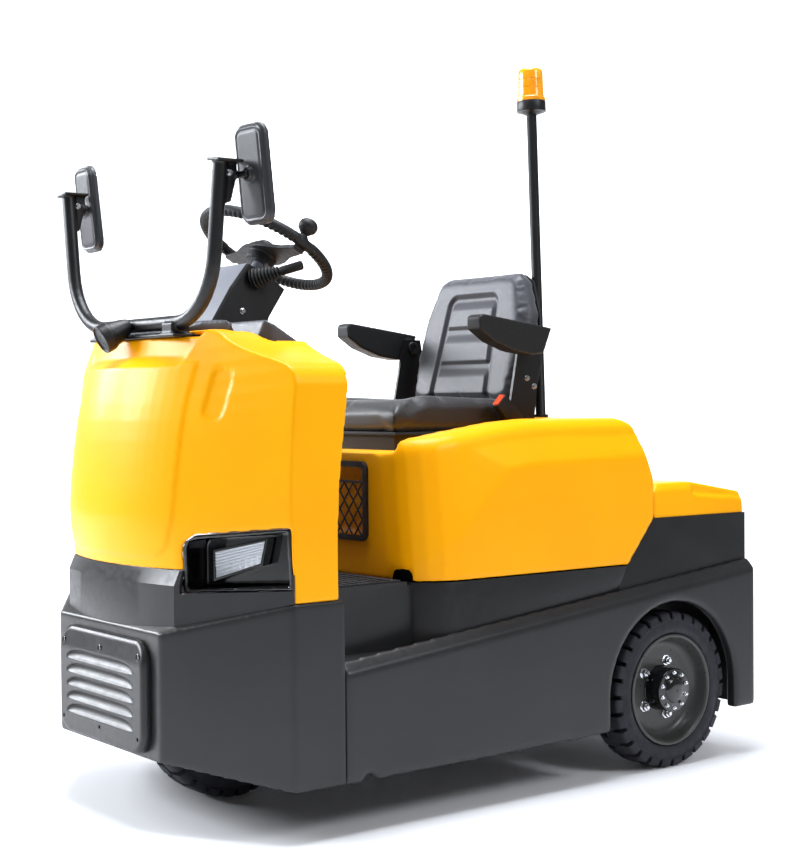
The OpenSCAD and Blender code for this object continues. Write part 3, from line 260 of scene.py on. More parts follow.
def mouldedBlack(name, low, high, rough, size=700, depth=0.2):
    p = Paint(name)
    pebble = p.cells(size)
    tone = p.blend(p.band(p.noise(7, 3), 0.3, 0.7), low, high)
    dull = p.band(p.noise(90, 3), 0.3, 0.7, rough - 0.05, rough + 0.07)
    return p.done(Base_Color=tone, Roughness=dull, Normal=p.bump(pebble, depth, 0.0006),
                  Specular_IOR_Level=0.4)


def podPaint():
    p = Paint("podPaint")
    pebble = p.cells(700)
    side = p.node("ShaderNodeMath", {"operation": "ABSOLUTE"}, {0: p.axis("X")})
    tone = p.blend(p.band(side, 0.0695, 0.0705), tint(126, 128, 136), tint(20, 20, 22))
    return p.done(Base_Color=tone, Roughness=p.band(p.noise(90, 3), 0.3, 0.7, 0.38, 0.5),
                  Normal=p.bump(pebble, 0.2, 0.0006), Specular_IOR_Level=0.4)


def glossBlack():
    p = Paint("glossBlack")
    haze = p.noise(11, 3)
    tone = p.blend(p.band(haze, 0.3, 0.7), tint(9, 9, 11), tint(15, 15, 18))
    return p.done(Base_Color=tone, Roughness=p.band(p.noise(35, 3), 0.3, 0.7, 0.1, 0.17),
                  Coat_Weight=0.4, Coat_Roughness=0.05)


def seatVinyl():
    p = Paint("seatVinyl")
    hide = p.cells(520)
    crease = p.noise(140, 4)
    # painted shade and painted light: the vinyl is darker towards the bottom, where the cushion is shaded,
    # and lighter up the backrest, which faces the key light
    paintedShadeByHeight = p.band(p.axis("Z") + p.noise(6, 3) * 0.06, 0.98, 1.34)
    tone = p.blend(paintedShadeByHeight, tint(16, 16, 19), tint(46, 47, 55))
    dull = p.band(crease, 0.3, 0.7, 0.42, 0.52)
    under = p.bump(hide, 0.22, 0.0007)
    return p.done(Base_Color=tone, Roughness=dull, Normal=p.bump(crease, 0.08, 0.001, under),
                  Sheen_Weight=0.2)


def tyreRubber():
    p = Paint("tyreRubber")
    dust = p.noise(18, 5, 0.6)
    tone = p.blend(p.band(dust, 0.35, 0.75), tint(20, 20, 28), tint(32, 32, 42))
    dull = p.band(p.noise(50, 3), 0.3, 0.7, 0.62, 0.78)
    return p.done(Base_Color=tone, Roughness=dull, Normal=p.bump(p.noise(700, 2), 0.15, 0.0005))


def brightSteel(name, tone, rough):
    p = Paint(name)
    brush = p.noise(320, 3)
    return p.done(Base_Color=tone, Metallic=1.0,
                  Roughness=p.band(brush, 0.3, 0.7, rough - 0.05, rough + 0.07))


def clearLens(name, low, high, through, rough):
    p = Paint(name)
    swirl = p.noise(24, 2)
    haze = p.band(p.noise(40, 2), 0.3, 0.7, rough, rough + 0.06)
    return p.done(Base_Color=p.blend(swirl, low, high), Roughness=haze,
                  Transmission_Weight=through, IOR=1.46, Coat_Weight=0.3)


def matRubber():
    p = Paint("matRubber")
    scuff = p.noise(16, 5, 0.6)
    tone = p.blend(p.band(scuff, 0.35, 0.7), tint(26, 26, 28), tint(44, 44, 47))
    return p.done(Base_Color=tone, Roughness=p.band(scuff, 0.3, 0.7, 0.55, 0.75),
                  Normal=p.bump(p.noise(800, 2), 0.2, 0.0005))


paints = {"yellow": amberPaint(),
          "grey": chassisPaint("chassisGrey", tint(31, 31, 32), tint(37, 37, 38), 0.34),
          "wheelGrey": chassisPaint("wheelGrey", tint(60, 60, 59), tint(68, 68, 67), 0.3),
          "steel": chassisPaint("blackSteel", tint(9, 9, 10), tint(14, 14, 15), 0.4),
          "black": mouldedBlack("mouldedBlack", tint(16, 16, 17), tint(23, 23, 25), 0.42),
          "pod": podPaint(),
          "mirrorBack": mouldedBlack("mirrorBack", tint(44, 45, 48), tint(52, 53, 56), 0.4),
          "dashGrey": mouldedBlack("dashGrey", tint(68, 70, 77), tint(78, 80, 87), 0.42),
          "grip": mouldedBlack("gripRubber", tint(9, 9, 10), tint(13, 13, 14), 0.54, 300, 0.3),
          "gloss": glossBlack(), "vinyl": seatVinyl(), "tyre": tyreRubber(), "mat": matRubber(),
          "chrome": brightSteel("chromeNuts", tint(225, 227, 231), 0.12),
          "zinc": brightSteel("zincBolts", tint(186, 188, 190), 0.28),
          "mirror": brightSteel("mirrorGlass", tint(214, 222, 228), 0.08),
          "lens": clearLens("clearLens", tint(225, 232, 242), tint(240, 244, 250), 0.2, 0.08),
          "amber": clearLens("amberLens", tint(255, 172, 6), tint(255, 194, 30), 0.5, 0.08),
          "core": clearLens("amberCore", tint(255, 120, 0), tint(255, 140, 6), 0.0, 0.3),
          "red": clearLens("redLens", tint(150, 16, 12), tint(178, 24, 18), 0.2, 0.1),
          "orange": mouldedBlack("buckleRed", tint(236, 62, 14), tint(246, 84, 24), 0.35),
          "green": chassisPaint("batteryGreen", tint(52, 62, 56), tint(62, 72, 66), 0.5)}
print("finishes mixed:", len(paints))


# shaping helpers
def smoothStep(x, low, high):
    t = max(0.0, min(1.0, (x - low) / (high - low)))
    return t * t * (3 - 2 * t)


def ridge(x, spot, wide):
    return math.exp(-((x - spot) / wide) ** 2)


def settle(piece, name, body, finish):
    hold(piece)
    bpy.ops.object.transform_apply(location=True, rotation=True, scale=True)
    piece.name = name
    piece.data.materials.clear()
    piece.data.materials.append(paints[finish])
    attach(piece, body)
    return piece


# points nearer than this in metres are merged
weldGap = 0.00002


def copyNode(node):
    made = bpy.data.objects.new(node + "Copy", nodes[node].data.copy())
    scene.collection.objects.link(made)
    editAll(made)
    bpy.ops.mesh.remove_doubles(threshold=weldGap)
    bpy.ops.mesh.customdata_custom_splitnormals_clear()
    bpy.ops.object.mode_set(mode="OBJECT")
    return made


def copied(piece, change):
    twin = piece.copy()
    twin.data = piece.data.copy()
    scene.collection.objects.link(twin)
    twin.data.transform(change)
    if change.determinant() < 0:
        twin.data.flip_normals()
    return twin


def joined(pieces):
    pickNone()
    for piece in pieces:
        piece.select_set(True)
    bpy.context.view_layer.objects.active = pieces[0]
    bpy.ops.object.join()
    return bpy.context.object


def soften(node, voxel, passes, filler=None):
    made = copyNode(node)
    if filler:
        made = joined([made] + filler())
    use(made, "REMESH", mode="VOXEL", voxel_size=voxel, use_smooth_shade=True)
    use(made, "SMOOTH", factor=0.5, iterations=passes)
    return made


# moulded and pressed pieces: the solids' own shapes with softened edges
# columns: piece, voxel size, smoothing passes, body, finish, slot
moulded = {"cowl": ("cowlSkin", 0.0046, 5, "chassis", "yellow", "panel_yellow"),
           "hood": ("hoodSkin", 0.0069, 5, "hood", "yellow", "panel_yellow"),
           "rear_cover": ("rearCoverSkin", 0.005, 8, "chassis", "yellow", "panel_yellow"),
           "bumper": ("bumperShell", 0.005, 16, "chassis", "grey", "chassis_grey"),
           "front_cover": ("louvreCover", 0.002, 5, "chassis", "grey", "chassis_grey"),
           "sills": ("sideSills", 0.0056, 14, "chassis", "grey", "chassis_grey"),
           "dash": ("dashTray", 0.005, 4, "chassis", "dashGrey", "matte_black"),
           "steering_column": ("columnPod", 0.003, 4, "chassis", "pod", "matte_black"),
           "steering_wheel": ("steerWheel", 0.0022, 5, "steering_wheel", "grip", "matte_black"),
           "headlamp_housings": ("lampBowls", 0.0028, 4, "chassis", "gloss", "gloss_black"),
           "mirror_bar": ("mirrorTube", 0.0025, 4, "chassis", "steel", "black_steel"),
           "mirror_housings": ("mirrorBacks", 0.0025, 5, "chassis", "mirrorBack", "matte_black"),
           "work_lamp": ("workLampBody", 0.002, 4, "chassis", "black", "matte_black"),
           "armrest_left": ("armPadLeft", 0.003, 14, "armrest_left", "grip", "matte_black"),
           "armrest_right": ("armPadRight", 0.003, 14, "armrest_right", "grip", "matte_black")}


# ribs under the steering rim and the pressed line round each mirror's back
rim = {"hub": (0, -0.451, 1.370), "tilt": math.radians(30.5), "radius": 0.170, "core": 0.004, "reach": 0.0165,
       "spokeHalf": 0.024, "ribs": 76, "depth": 0.0026, "skew": 0.4, "under": (-0.1, 0.5), "swell": 0.0016,
       "knobAbove": 0.026, "knobSwell": 1.2}
mirrorBack = {"place": (0.408, -0.753, 1.488), "pitch": math.radians(6), "toe": math.radians(4),
              "half": (0.048, 0.105), "round": 0.024, "inset": 0.008, "depth": 0.0024, "line": 0.0028,
              "behind": 0.005, "knuckle": 0.019}


def ribRim(piece):
    toRim = (Matrix.Translation(rim["hub"]) @ Matrix.Rotation(-rim["tilt"], 4, "X")).inverted()
    fromRim = toRim.inverted()
    for v in piece.data.vertices:
        q = toRim @ v.co
        across = math.hypot(q.x, q.y)
        out, high = across - rim["radius"], q.z
        far = math.hypot(out, high)
        if far > rim["reach"] or far < rim["core"] or abs(q.y) < rim["spokeHalf"]:
            continue
        angle = math.atan2(q.y, q.x)
        wave = 0.5 + 0.5 * math.cos(rim["ribs"] * angle)
        under = smoothStep(-high / far - rim["skew"] * out / far, *rim["under"])
        dip = rim["depth"] * under * wave * wave - rim["swell"]
        across -= dip * out / far
        q.z -= dip * high / far
        q.x, q.y = across * math.cos(angle), across * math.sin(angle)
        v.co = fromRim @ q
    knob = [v for v in piece.data.vertices if (toRim @ v.co).z > rim["knobAbove"]]
    spot = sum((v.co for v in knob), Vector()) / len(knob)
    for v in knob:
        v.co = spot + rim["knobSwell"] * (v.co - spot)


def pressMirrors(piece):
    for side in (1, -1):
        x, y, z = mirrorBack["place"]
        toed = Matrix.Translation((side * x, y, z)) @ Matrix.Rotation(side * mirrorBack["toe"], 4, "Z")
        local = toed @ Matrix.Rotation(mirrorBack["pitch"], 4, "X")
        back = local.inverted()
        r = mirrorBack["round"]
        for v in piece.data.vertices:
            if v.co.x * side < 0:
                continue
            q = back @ v.co
            dx = max(abs(q.x) - mirrorBack["half"][0] + r, 0)
            dz = max(abs(q.z) - mirrorBack["half"][1] + r, 0)
            edge = math.hypot(dx, dz) - r
            if q.y < mirrorBack["behind"] and math.hypot(q.x, q.z) > mirrorBack["knuckle"]:
                q.y += mirrorBack["depth"] * ridge(edge, -mirrorBack["inset"], mirrorBack["line"])
                v.co = local @ q


# the front cover's scooped louvres
louvre = {"count": 5, "pitch": 0.033, "top": 0.012, "span": 0.027, "half": 0.172, "depth": 0.0125,
          "wall": 0.14, "lip": 0.0018, "lipWide": 0.12, "margin": 0.4, "endDrop": 0.018, "dropPower": 6,
          "fadePower": 8, "rim": 0.014, "corner": 0.052,
          "seat": 0.01, "face": 0.0125, "crown": 0.01, "crownFrom": 0.07, "crownTo": 0.134}


def scoop(x, z):
    deep = 0.0
    u = abs(x) / louvre["half"]
    for i in range(louvre["count"]):
        high = ((louvre["count"] - 1) / 2 - i) * louvre["pitch"] + louvre["top"]
        low = high - louvre["span"]
        high -= louvre["endDrop"] * min(u, 1) ** louvre["dropPower"]
        t = (high - z) / (high - low)
        if u < 1 and -louvre["margin"] < t < 1 + louvre["margin"]:
            fade = 1 - u ** louvre["fadePower"]
            slope = smoothStep(t, 0, louvre["wall"]) * max(0.0, 1 - max(t, 0.0) ** 2)
            lip = louvre["lip"] * ridge(t, 1, louvre["lipWide"])
            deep += fade * (louvre["depth"] * slope - lip)
    return deep


def pressLouvres(piece):
    low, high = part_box("front_cover")
    spot, half = (low + high) / 2, (high - low) / 2
    r = louvre["corner"]
    for v in piece.data.vertices:
        if v.co.y > high.y - louvre["seat"]:
            continue
        x, z = v.co.x - spot.x, v.co.z - spot.z
        dx, dz = abs(x) - half.x + r, abs(z) - half.z + r
        edge = r - math.hypot(max(dx, 0), max(dz, 0)) - min(max(dx, dz), 0)
        bend = 1 - max(0.0, min(edge / louvre["rim"], 1.0))
        face = louvre["seat"] + louvre["face"] * math.sqrt(1 - bend * bend)
        back = louvre["crown"] * smoothStep(z, louvre["crownFrom"], louvre["crownTo"])
        v.co.y = high.y - face + scoop(x, z) + back
    use(piece, "SMOOTH", factor=0.4, iterations=2)


# blocks that close the slit under the rear cover's side notch
infill = {"place": (0.468, 0.7445, 0.7), "size": (0.016, 0.099, 0.03)}


def coverFiller():
    boxes = []
    x, y, z = infill["place"]
    for side in (1, -1):
        bpy.ops.mesh.primitive_cube_add(size=1)
        box = bpy.context.object
        box.data.transform(Matrix.Translation((side * x, y, z)) @ Matrix.Diagonal(infill["size"] + (1,)))
        boxes.append(box)
    return boxes


def mouldPieces():
    for node, (name, voxel, passes, body, finish, slot) in moulded.items():
        piece = soften(node, voxel, passes, coverFiller if node == "rear_cover" else None)
        if node == "steering_wheel":
            ribRim(piece)
        elif node == "mirror_housings":
            pressMirrors(piece)
        elif node == "front_cover":
            pressLouvres(piece)
        settle(piece, name, body, finish)
        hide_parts(node)
        print("moulded", name, len(piece.data.polygons))


mouldPieces()

# tyres: a ring shaped to the section, radius and half width in mm, with lugs cut on both shoulders
tyre = {"lugs": 28, "columns": (0.105, 0.14, 0.36, 0.395, 0.605, 0.64, 0.86, 0.895),
        "section": ((207.5, 0), (207.5, 6), (207.5, 12), (207.3, 22), (206.8, 34), (205.6, 44), (202.5, 49),
                    (197, 51.6), (191, 53), (186.5, 53.6), (184.6, 51.4), (180, 51.2), (176, 52.6),
                    (170, 53.6), (163, 53.8), (157, 52.6), (152.5, 50), (149.5, 46.5), (147.4, 42),
                    (146.6, 30), (146.6, 14)),
        "lugFrom": 184.7, "ribHalf": 13, "grooveHalf": 0.12, "grooveFloor": 189, "grooveSide": 49.5,
        "wallSide": 52.9, "crownFrom": 200, "notchFrom": 10, "zigzag": 9, "zigzagDepth": 10}


def makeTyre(name, body, centre, node):
    half = tyre["section"]
    ring = list(half) + [(r, -w) for r, w in reversed(half[1:])]
    perLug, count = len(tyre["columns"]), len(ring)
    # the torus lends only its mesh, because every point is placed below
    bpy.ops.mesh.primitive_torus_add(major_segments=tyre["lugs"] * perLug, minor_segments=count,
                                     major_radius=0.18, minor_radius=0.03)
    piece = bpy.context.object
    for i, v in enumerate(piece.data.vertices):
        column, row = divmod(i, count)
        lug, step = divmod(column, perLug)
        u = tyre["columns"][step]
        r, w = ring[row]
        near = min(u, 1 - u) if w > 0 else abs(u - 0.5)
        cut = near < tyre["grooveHalf"]
        if r > tyre["lugFrom"] and abs(w) > tyre["ribHalf"]:
            if cut and abs(w) < tyre["wallSide"]:
                r = min(r, tyre["grooveFloor"])
            if cut:
                w = math.copysign(min(abs(w), tyre["grooveSide"]), w)
        elif r > tyre["crownFrom"]:
            if w == 0 or cut and abs(w) > tyre["notchFrom"]:
                r -= tyre["zigzagDepth"]
            w += tyre["zigzag"] * (4 * abs(u - 0.5) - 1)
        turn = 2 * math.pi * (lug + u) / tyre["lugs"]
        y, z = r / 1000 * math.cos(turn), r / 1000 * math.sin(turn)
        v.co = (w / 1000 + centre[0], centre[1] + y, centre[2] + z)
    editAll(piece)
    bpy.ops.mesh.normals_make_consistent(inside=False)
    bpy.ops.object.mode_set(mode="OBJECT")
    bpy.ops.object.shade_smooth_by_angle(angle=math.radians(38))
    settle(piece, name, body, "tyre")
    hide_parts(node)


def middle(node):
    low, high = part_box(node)
    return (low + high) / 2


for tyreName, tyreBody, tyreNode in (("tyreRearLeft", "rear_wheel_left", "rear_tyre_left"),
                                     ("tyreRearRight", "rear_wheel_right", "rear_tyre_right"),
                                     ("tyreFront", "front_wheel", "front_tyre")):
    makeTyre(tyreName, tyreBody, middle(tyreNode), tyreNode)
print("tyres lugged")

# turned pieces: a ring drawn out step by step, each step a radius and a height in mm
def turned(profile, place, aim, segments=48, smooth=35):
    pickNone()
    radius, height = profile[0]
    bpy.ops.mesh.primitive_circle_add(vertices=segments, radius=radius / 1000, location=(0, 0, height / 1000))
    piece = bpy.context.object
    bpy.ops.object.transform_apply(location=True)
    bpy.ops.object.mode_set(mode="EDIT")
    bpy.ops.mesh.select_mode(type="EDGE")
    bpy.ops.mesh.select_all(action="SELECT")
    for (r0, z0), (r1, z1) in zip(profile, profile[1:]):
        bpy.ops.mesh.extrude_region_move(TRANSFORM_OT_translate={"value": (0, 0, (z1 - z0) / 1000)})
        bpy.ops.transform.resize(value=(r1 / r0, r1 / r0, 1), center_override=(0, 0, 0))
    bpy.ops.mesh.select_all(action="SELECT")
    bpy.ops.mesh.fill_holes(sides=0)
    bpy.ops.mesh.normals_make_consistent(inside=False)
    bpy.ops.object.mode_set(mode="OBJECT")
    pointed = Vector(aim).to_track_quat("Z", "Y").to_matrix().to_4x4()
    piece.data.transform(Matrix.Translation([c / 1000 for c in place]) @ pointed)
    bpy.ops.object.shade_smooth_by_angle(angle=math.radians(smooth))
    return piece


def ringed(piece, centre, count):
    home = Matrix.Translation([c / 1000 for c in centre])
    turns = [Matrix.Rotation(2 * math.pi * i / count, 4, "X") for i in range(1, count)]
    return joined([piece] + [copied(piece, home @ turn @ home.inverted()) for turn in turns])


flip = Matrix.Scale(-1, 4, (1, 0, 0))

# rear wheels: dished disc, black hub with its dust cap, chrome studs and nuts
wheel = {"centre": (454, 490, 207.5), "studCount": 10, "studAt": 47, "nutCount": 5, "nutAt": 75,
         "dish": ((60, -1), (134, -1), (136, -4), (136, -44), (138, -51), (140, -52), (145.7, -52),
                  (145.7, 45.5), (147.3, 46.6), (148, 48.4), (147.7, 50.2), (146.5, 51.6), (144.6, 52),
                  (141.4, 51.9), (139.4, 50.8), (137.9, 48.4), (136.2, 42), (133.6, 32), (130.6, 24),
                  (127, 17.6), (122.5, 12.6), (117, 9.2), (110, 7.5), (100, 7), (57, 7)),
         "drum": ((60, 5), (60, 10), (58.6, 11.4), (58, 13), (58, 57), (57.5, 58.6), (56.2, 59.5),
                  (54, 59.8), (39, 59.8), (37, 60.8)),
         "cap": ((34.5, 59), (34.2, 61), (33, 63.4), (30, 66), (25, 68.2), (18, 69.5), (9, 70), (3.2, 70),
                 (2.6, 68.6), (0.4, 68.4)),
         "stud": ((6.4, 59), (6.4, 60.8), (5.4, 61.2), (5.4, 63.8), (4.7, 65.2), (3, 66.2), (0.3, 66.5)),
         "washer": ((14.5, 6.5), (14.5, 9), (13.6, 9.8), (8, 9.9)),
         "nut": ((11.6, 9.6), (11.6, 17.4), (10.4, 19.2), (7, 19.5), (6.6, 23.4), (5, 25), (0.3, 25.2))}


def makeWheels():
    x, y, z = wheel["centre"]
    aim = (1, 0, 0)
    left = {"wheelDish": (turned(wheel["dish"], wheel["centre"], aim, 96, 40), "wheelGrey", "wheel_grey"),
            "hubDrum": (turned(wheel["drum"], wheel["centre"], aim, 64), "gloss", "gloss_black"),
            "hubCap": (turned(wheel["cap"], wheel["centre"], aim, 48), "gloss", "gloss_black")}
    stud = turned(wheel["stud"], (x, y, z - wheel["studAt"]), aim, 6)
    nut = joined([turned(wheel["washer"], (x, y + wheel["nutAt"], z), aim, 24),
                  turned(wheel["nut"], (x, y + wheel["nutAt"], z), aim, 6)])
    left["hubStuds"] = (ringed(stud, wheel["centre"], wheel["studCount"]), "chrome", "bright_steel")
    left["wheelNuts"] = (ringed(nut, wheel["centre"], wheel["nutCount"]), "chrome", "bright_steel")
    for name, (piece, finish, slot) in left.items():
        twin = copied(piece, flip)
        settle(piece, name + "Left", "rear_wheel_left", finish)
        settle(twin, name + "Right", "rear_wheel_right", finish)
        if name == "wheelDish":
            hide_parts("rear_wheel_left")
            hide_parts("rear_wheel_right")


makeWheels()
print("wheels dished")

# lamps: ribbed blocks in the bowls, the work lamp's lens, the beacon's lens over its core
lamp = {"corner": (257, -847), "turn": math.atan2(127, 265), "depth": 35,
        "outline": ((65, 579), (187, 617), (199, 671), (65, 641)), "ribs": 5, "dots": (8, 3), "divide": 0.44,
        "divideHalf": 0.02, "relief": 1.7, "thick": 9, "frame": 7, "frameGrow": (1.09, 1.18), "frameLift": 2,
        "frameDeep": 30, "frameEdge": 1.6,
        "workAt": (-23, -829, 1169), "workAim": (-0.1229, -0.8744, -0.4695),
        "workLens": ((31.6, 72), (31.6, 76.4), (29, 76.9), (28, 76.3), (20, 77), (19, 76.5), (12, 77.6),
                     (11, 76.6), (0.3, 77.8)),
        "beaconAt": (136.1, 333, 1803.4), "beaconAim": (-0.03664, 0, 0.99933),
        "beaconLens": ((39.6, 0.2), (39.6, 9), (38.4, 10.6), (36.6, 12), (36.2, 15), (35.7, 34), (34.6, 35.2),
                       (34.6, 36.6), (35.5, 37.8), (35, 57), (34, 58.2), (34, 59.6), (34.8, 60.8), (34.3, 80),
                       (33, 85), (29.5, 89.2), (23, 91.4), (12, 92), (0.4, 92)),
        "beaconCore": ((17, 3), (17, 20), (15, 22), (15, 42), (17, 44), (17, 64), (15, 66), (15, 82),
                       (8, 84), (0.3, 84))}


def onFacet(u, z, deep):
    c, k = math.cos(lamp["turn"]), math.sin(lamp["turn"])
    return Vector((lamp["corner"][0] + u * c - deep * k, lamp["corner"][1] + u * k + deep * c, z)) / 1000


def inPatch(u, v):
    low = [a + (b - a) * u for a, b in zip(lamp["outline"][0], lamp["outline"][1])]
    high = [a + (b - a) * u for a, b in zip(lamp["outline"][3], lamp["outline"][2])]
    return [a + (b - a) * v for a, b in zip(low, high)]


def makeHeadlamps():
    pickNone()
    bpy.ops.mesh.primitive_grid_add(x_subdivisions=64, y_subdivisions=64, size=1)
    block = bpy.context.object
    divide, soft = lamp["divide"], lamp["divideHalf"]
    across, along = lamp["dots"]
    for vert in block.data.vertices:
        u, v = vert.co.x + 0.5, vert.co.y + 0.5
        upper = smoothStep(v, divide - soft, divide + soft)
        rise = upper * abs(math.sin(math.pi * lamp["ribs"] * (v - divide) / (1 - divide)))
        rise += (1 - upper) * abs(math.sin(math.pi * across * u) * math.sin(math.pi * along * v / divide))
        vert.co = onFacet(*inPatch(u, v), lamp["depth"] - lamp["relief"] * rise)
    use(block, "SOLIDIFY", thickness=lamp["thick"] / 1000, offset=-1)
    editAll(block)
    bpy.ops.mesh.normals_make_consistent(inside=False)
    bpy.ops.object.mode_set(mode="OBJECT")
    bpy.ops.object.shade_smooth_by_angle(angle=math.radians(50))
    bpy.ops.mesh.primitive_plane_add(size=1)
    surround = bpy.context.object
    growU, growV = lamp["frameGrow"]
    for vert in surround.data.vertices:
        u, v = 0.5 + growU * vert.co.x, 0.5 + growV * vert.co.y
        vert.co = onFacet(*inPatch(u, v), lamp["depth"] - lamp["frameLift"])
    bpy.ops.object.mode_set(mode="EDIT")
    bpy.ops.mesh.select_mode(type="FACE")
    bpy.ops.mesh.select_all(action="SELECT")
    bpy.ops.mesh.inset(thickness=lamp["frame"] / 1000)
    bpy.ops.mesh.delete(type="FACE")
    bpy.ops.object.mode_set(mode="OBJECT")
    use(surround, "SOLIDIFY", thickness=lamp["frameDeep"] / 1000, offset=-1)
    use(surround, "BEVEL", width=lamp["frameEdge"] / 1000, segments=2, limit_method="ANGLE")
    editAll(surround)
    bpy.ops.mesh.normals_make_consistent(inside=False)
    bpy.ops.object.mode_set(mode="OBJECT")
    blocks = joined([block, copied(block, flip)])
    frames = joined([surround, copied(surround, flip)])
    settle(blocks, "lampBlocks", "chassis", "lens")
    settle(frames, "lampFrames", "chassis", "gloss")
    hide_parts("headlamp_lenses")


def makeLamps():
    makeHeadlamps()
    lens = turned(lamp["workLens"], lamp["workAt"], lamp["workAim"], 48, 60)
    settle(lens, "workLampLens", "chassis", "black")
    beacon = turned(lamp["beaconLens"], lamp["beaconAt"], lamp["beaconAim"], 64)
    settle(beacon, "beaconLens", "hood", "amber")
    core = turned(lamp["beaconCore"], lamp["beaconAt"], lamp["beaconAim"], 8)
    settle(core, "beaconCore", "hood", "core")
    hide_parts("beacon_lens")


makeLamps()
print("lamps ribbed")

# fasteners: hexagon heads on the seat brackets, the mirror plates and the column's cover
bolts = {"head": ((8, -1), (8, 1.2), (6.8, 1.6), (6.8, 6.4), (5.6, 7.4), (0.3, 7.6)),
         "places": (((258, 201, 1039), (1, 0, 0), "hood"), ((258, 226, 1017), (1, 0, 0), "hood"),
                    ((-258, 201, 1039), (-1, 0, 0), "hood"), ((-258, 226, 1017), (-1, 0, 0), "hood"),
                    ((380, -790, 1492), (1, 0, 0), "chassis"), ((-372, -790, 1492), (1, 0, 0), "chassis"),
                    ((74, -570, 1205), (1, 0, 0), "chassis"))}


def makeBolts():
    for body in ("hood", "chassis"):
        heads = [turned(bolts["head"], place, aim, 6)
                 for place, aim, rides in bolts["places"] if rides == body]
        settle(joined(heads), body + "Bolts", body, "zinc")


makeBolts()

# small turned pieces: the lever in its gaiter, the louvre cover's screws, the armrests' pivot bosses
# a row of screws has its height and its distance ahead of the cover's rear face
lever = {"foot": (72, -536, 1284), "aim": (0.795, 0.56, 0.238), "rings": 8, "pitch": 8.6, "from": 27,
         "to": 15, "collar": 3, "first": 4, "neck": 7, "neckHigh": 2,
         "fold": ((-5, 0), (-3.2, 1.4), (-0.6, 3.2), (0, 4.3), (-0.6, 5.4), (-3.2, 7.2)),
         "stick": ((11, 76), (11.6, 78), (11.6, 131), (10.6, 133.4), (8, 134), (0.3, 134))}
screw = {"shape": ((8.4, -3), (8.4, 0.2), (7.4, 0.7), (6.6, -1.6), (0.3, -1.8)), "x": (-190, 0, 190),
         "rows": ((212, 22.0), (400, 20.8))}
boss = {"shape": ((17, -1), (17, 4.6), (15.6, 6), (9, 6.4), (8.4, 4.4), (0.3, 4.2)),
        "place": (250, 211, 1135)}


def makeLever():
    rings = [(lever["from"], 0), (lever["from"], lever["collar"])]
    for i in range(lever["rings"]):
        r = lever["from"] + (lever["to"] - lever["from"]) * i / (lever["rings"] - 1)
        z = lever["first"] + i * lever["pitch"]
        rings += [(r + out, z + up) for out, up in lever["fold"]]
    rings.append((lever["neck"], rings[-1][1] + lever["neckHigh"]))
    gaiter = turned(rings, lever["foot"], lever["aim"], 40, 50)
    stick = turned(lever["stick"], lever["foot"], lever["aim"], 32)
    piece = settle(joined([gaiter, stick]), "gaiterLever", "chassis", "grip")
    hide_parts("shift_lever")


def makeScrews():
    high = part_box("front_cover")[1]
    heads = [turned(screw["shape"], (x, 1000 * high.y - deep, z), (0, -1, 0), 20)
             for x in screw["x"] for z, deep in screw["rows"]]
    settle(joined(heads), "coverScrews", "chassis", "gloss")


def makeBosses():
    x, y, z = boss["place"]
    pair = [turned(boss["shape"], (side * x, y, z), (-side, 0, 0), 32) for side in (1, -1)]
    settle(joined(pair), "pivotBosses", "hood", "black")


# splash plates that close the bumper's hollow ends
splash = {"inner": 0.36, "outer": 0.512, "behind": 0.014, "thick": 0.005, "under": 0.05, "over": 0.03,
          "edge": 0.0015}


def makeSplashPlates():
    low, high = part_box("bumper")
    wide = splash["outer"] - splash["inner"]
    tall = high.z - low.z - splash["under"] - splash["over"]
    pair = []
    for side in (1, -1):
        pickNone()
        bpy.ops.mesh.primitive_cube_add(size=1)
        plate = bpy.context.object
        x = side * (splash["inner"] + wide / 2)
        spot = (x, high.y - splash["behind"], low.z + splash["under"] + tall / 2)
        plate.data.transform(Matrix.Translation(spot) @ Matrix.Diagonal((wide, splash["thick"], tall, 1)))
        use(plate, "BEVEL", width=splash["edge"], segments=2)
        pair.append(plate)
    settle(joined(pair), "splashPlates", "chassis", "grey")


makeLever()
makeScrews()
makeBosses()
makeSplashPlates()

# the belt buckle's red button, on the leaning end of its housing
button = {"foot": (274, 148, 924), "lean": math.radians(46), "middle": (1, 0, 82), "size": (20, 34, 7),
          "inset": 4, "dip": 1.6, "edge": 1.4}


def makeButton():
    pickNone()
    bpy.ops.mesh.primitive_cube_add(size=1)
    piece = bpy.context.object
    place = Matrix.Translation([c / 1000 for c in button["foot"]]) @ Matrix.Rotation(button["lean"], 4, "X")
    shape = Matrix.Diagonal([c / 1000 for c in button["size"]] + [1])
    piece.data.transform(place @ Matrix.Translation([c / 1000 for c in button["middle"]]) @ shape)
    up = place.to_3x3() @ Vector((0, 0, 1))
    bpy.ops.object.mode_set(mode="EDIT")
    bpy.ops.mesh.select_mode(type="FACE")
    choose(piece, "FACE", lambda f: f.normal.dot(up) > 0.9)
    bpy.ops.mesh.inset(thickness=button["inset"] / 1000)
    bpy.ops.transform.translate(value=up * (-button["dip"] / 1000))
    bpy.ops.object.mode_set(mode="OBJECT")
    use(piece, "BEVEL", width=button["edge"] / 1000, segments=3, limit_method="ANGLE")
    bpy.ops.object.shade_smooth_by_angle(angle=math.radians(40))
    settle(piece, "buckleButton", "hood", "orange")


makeButton()
print("fasteners and buckle set")

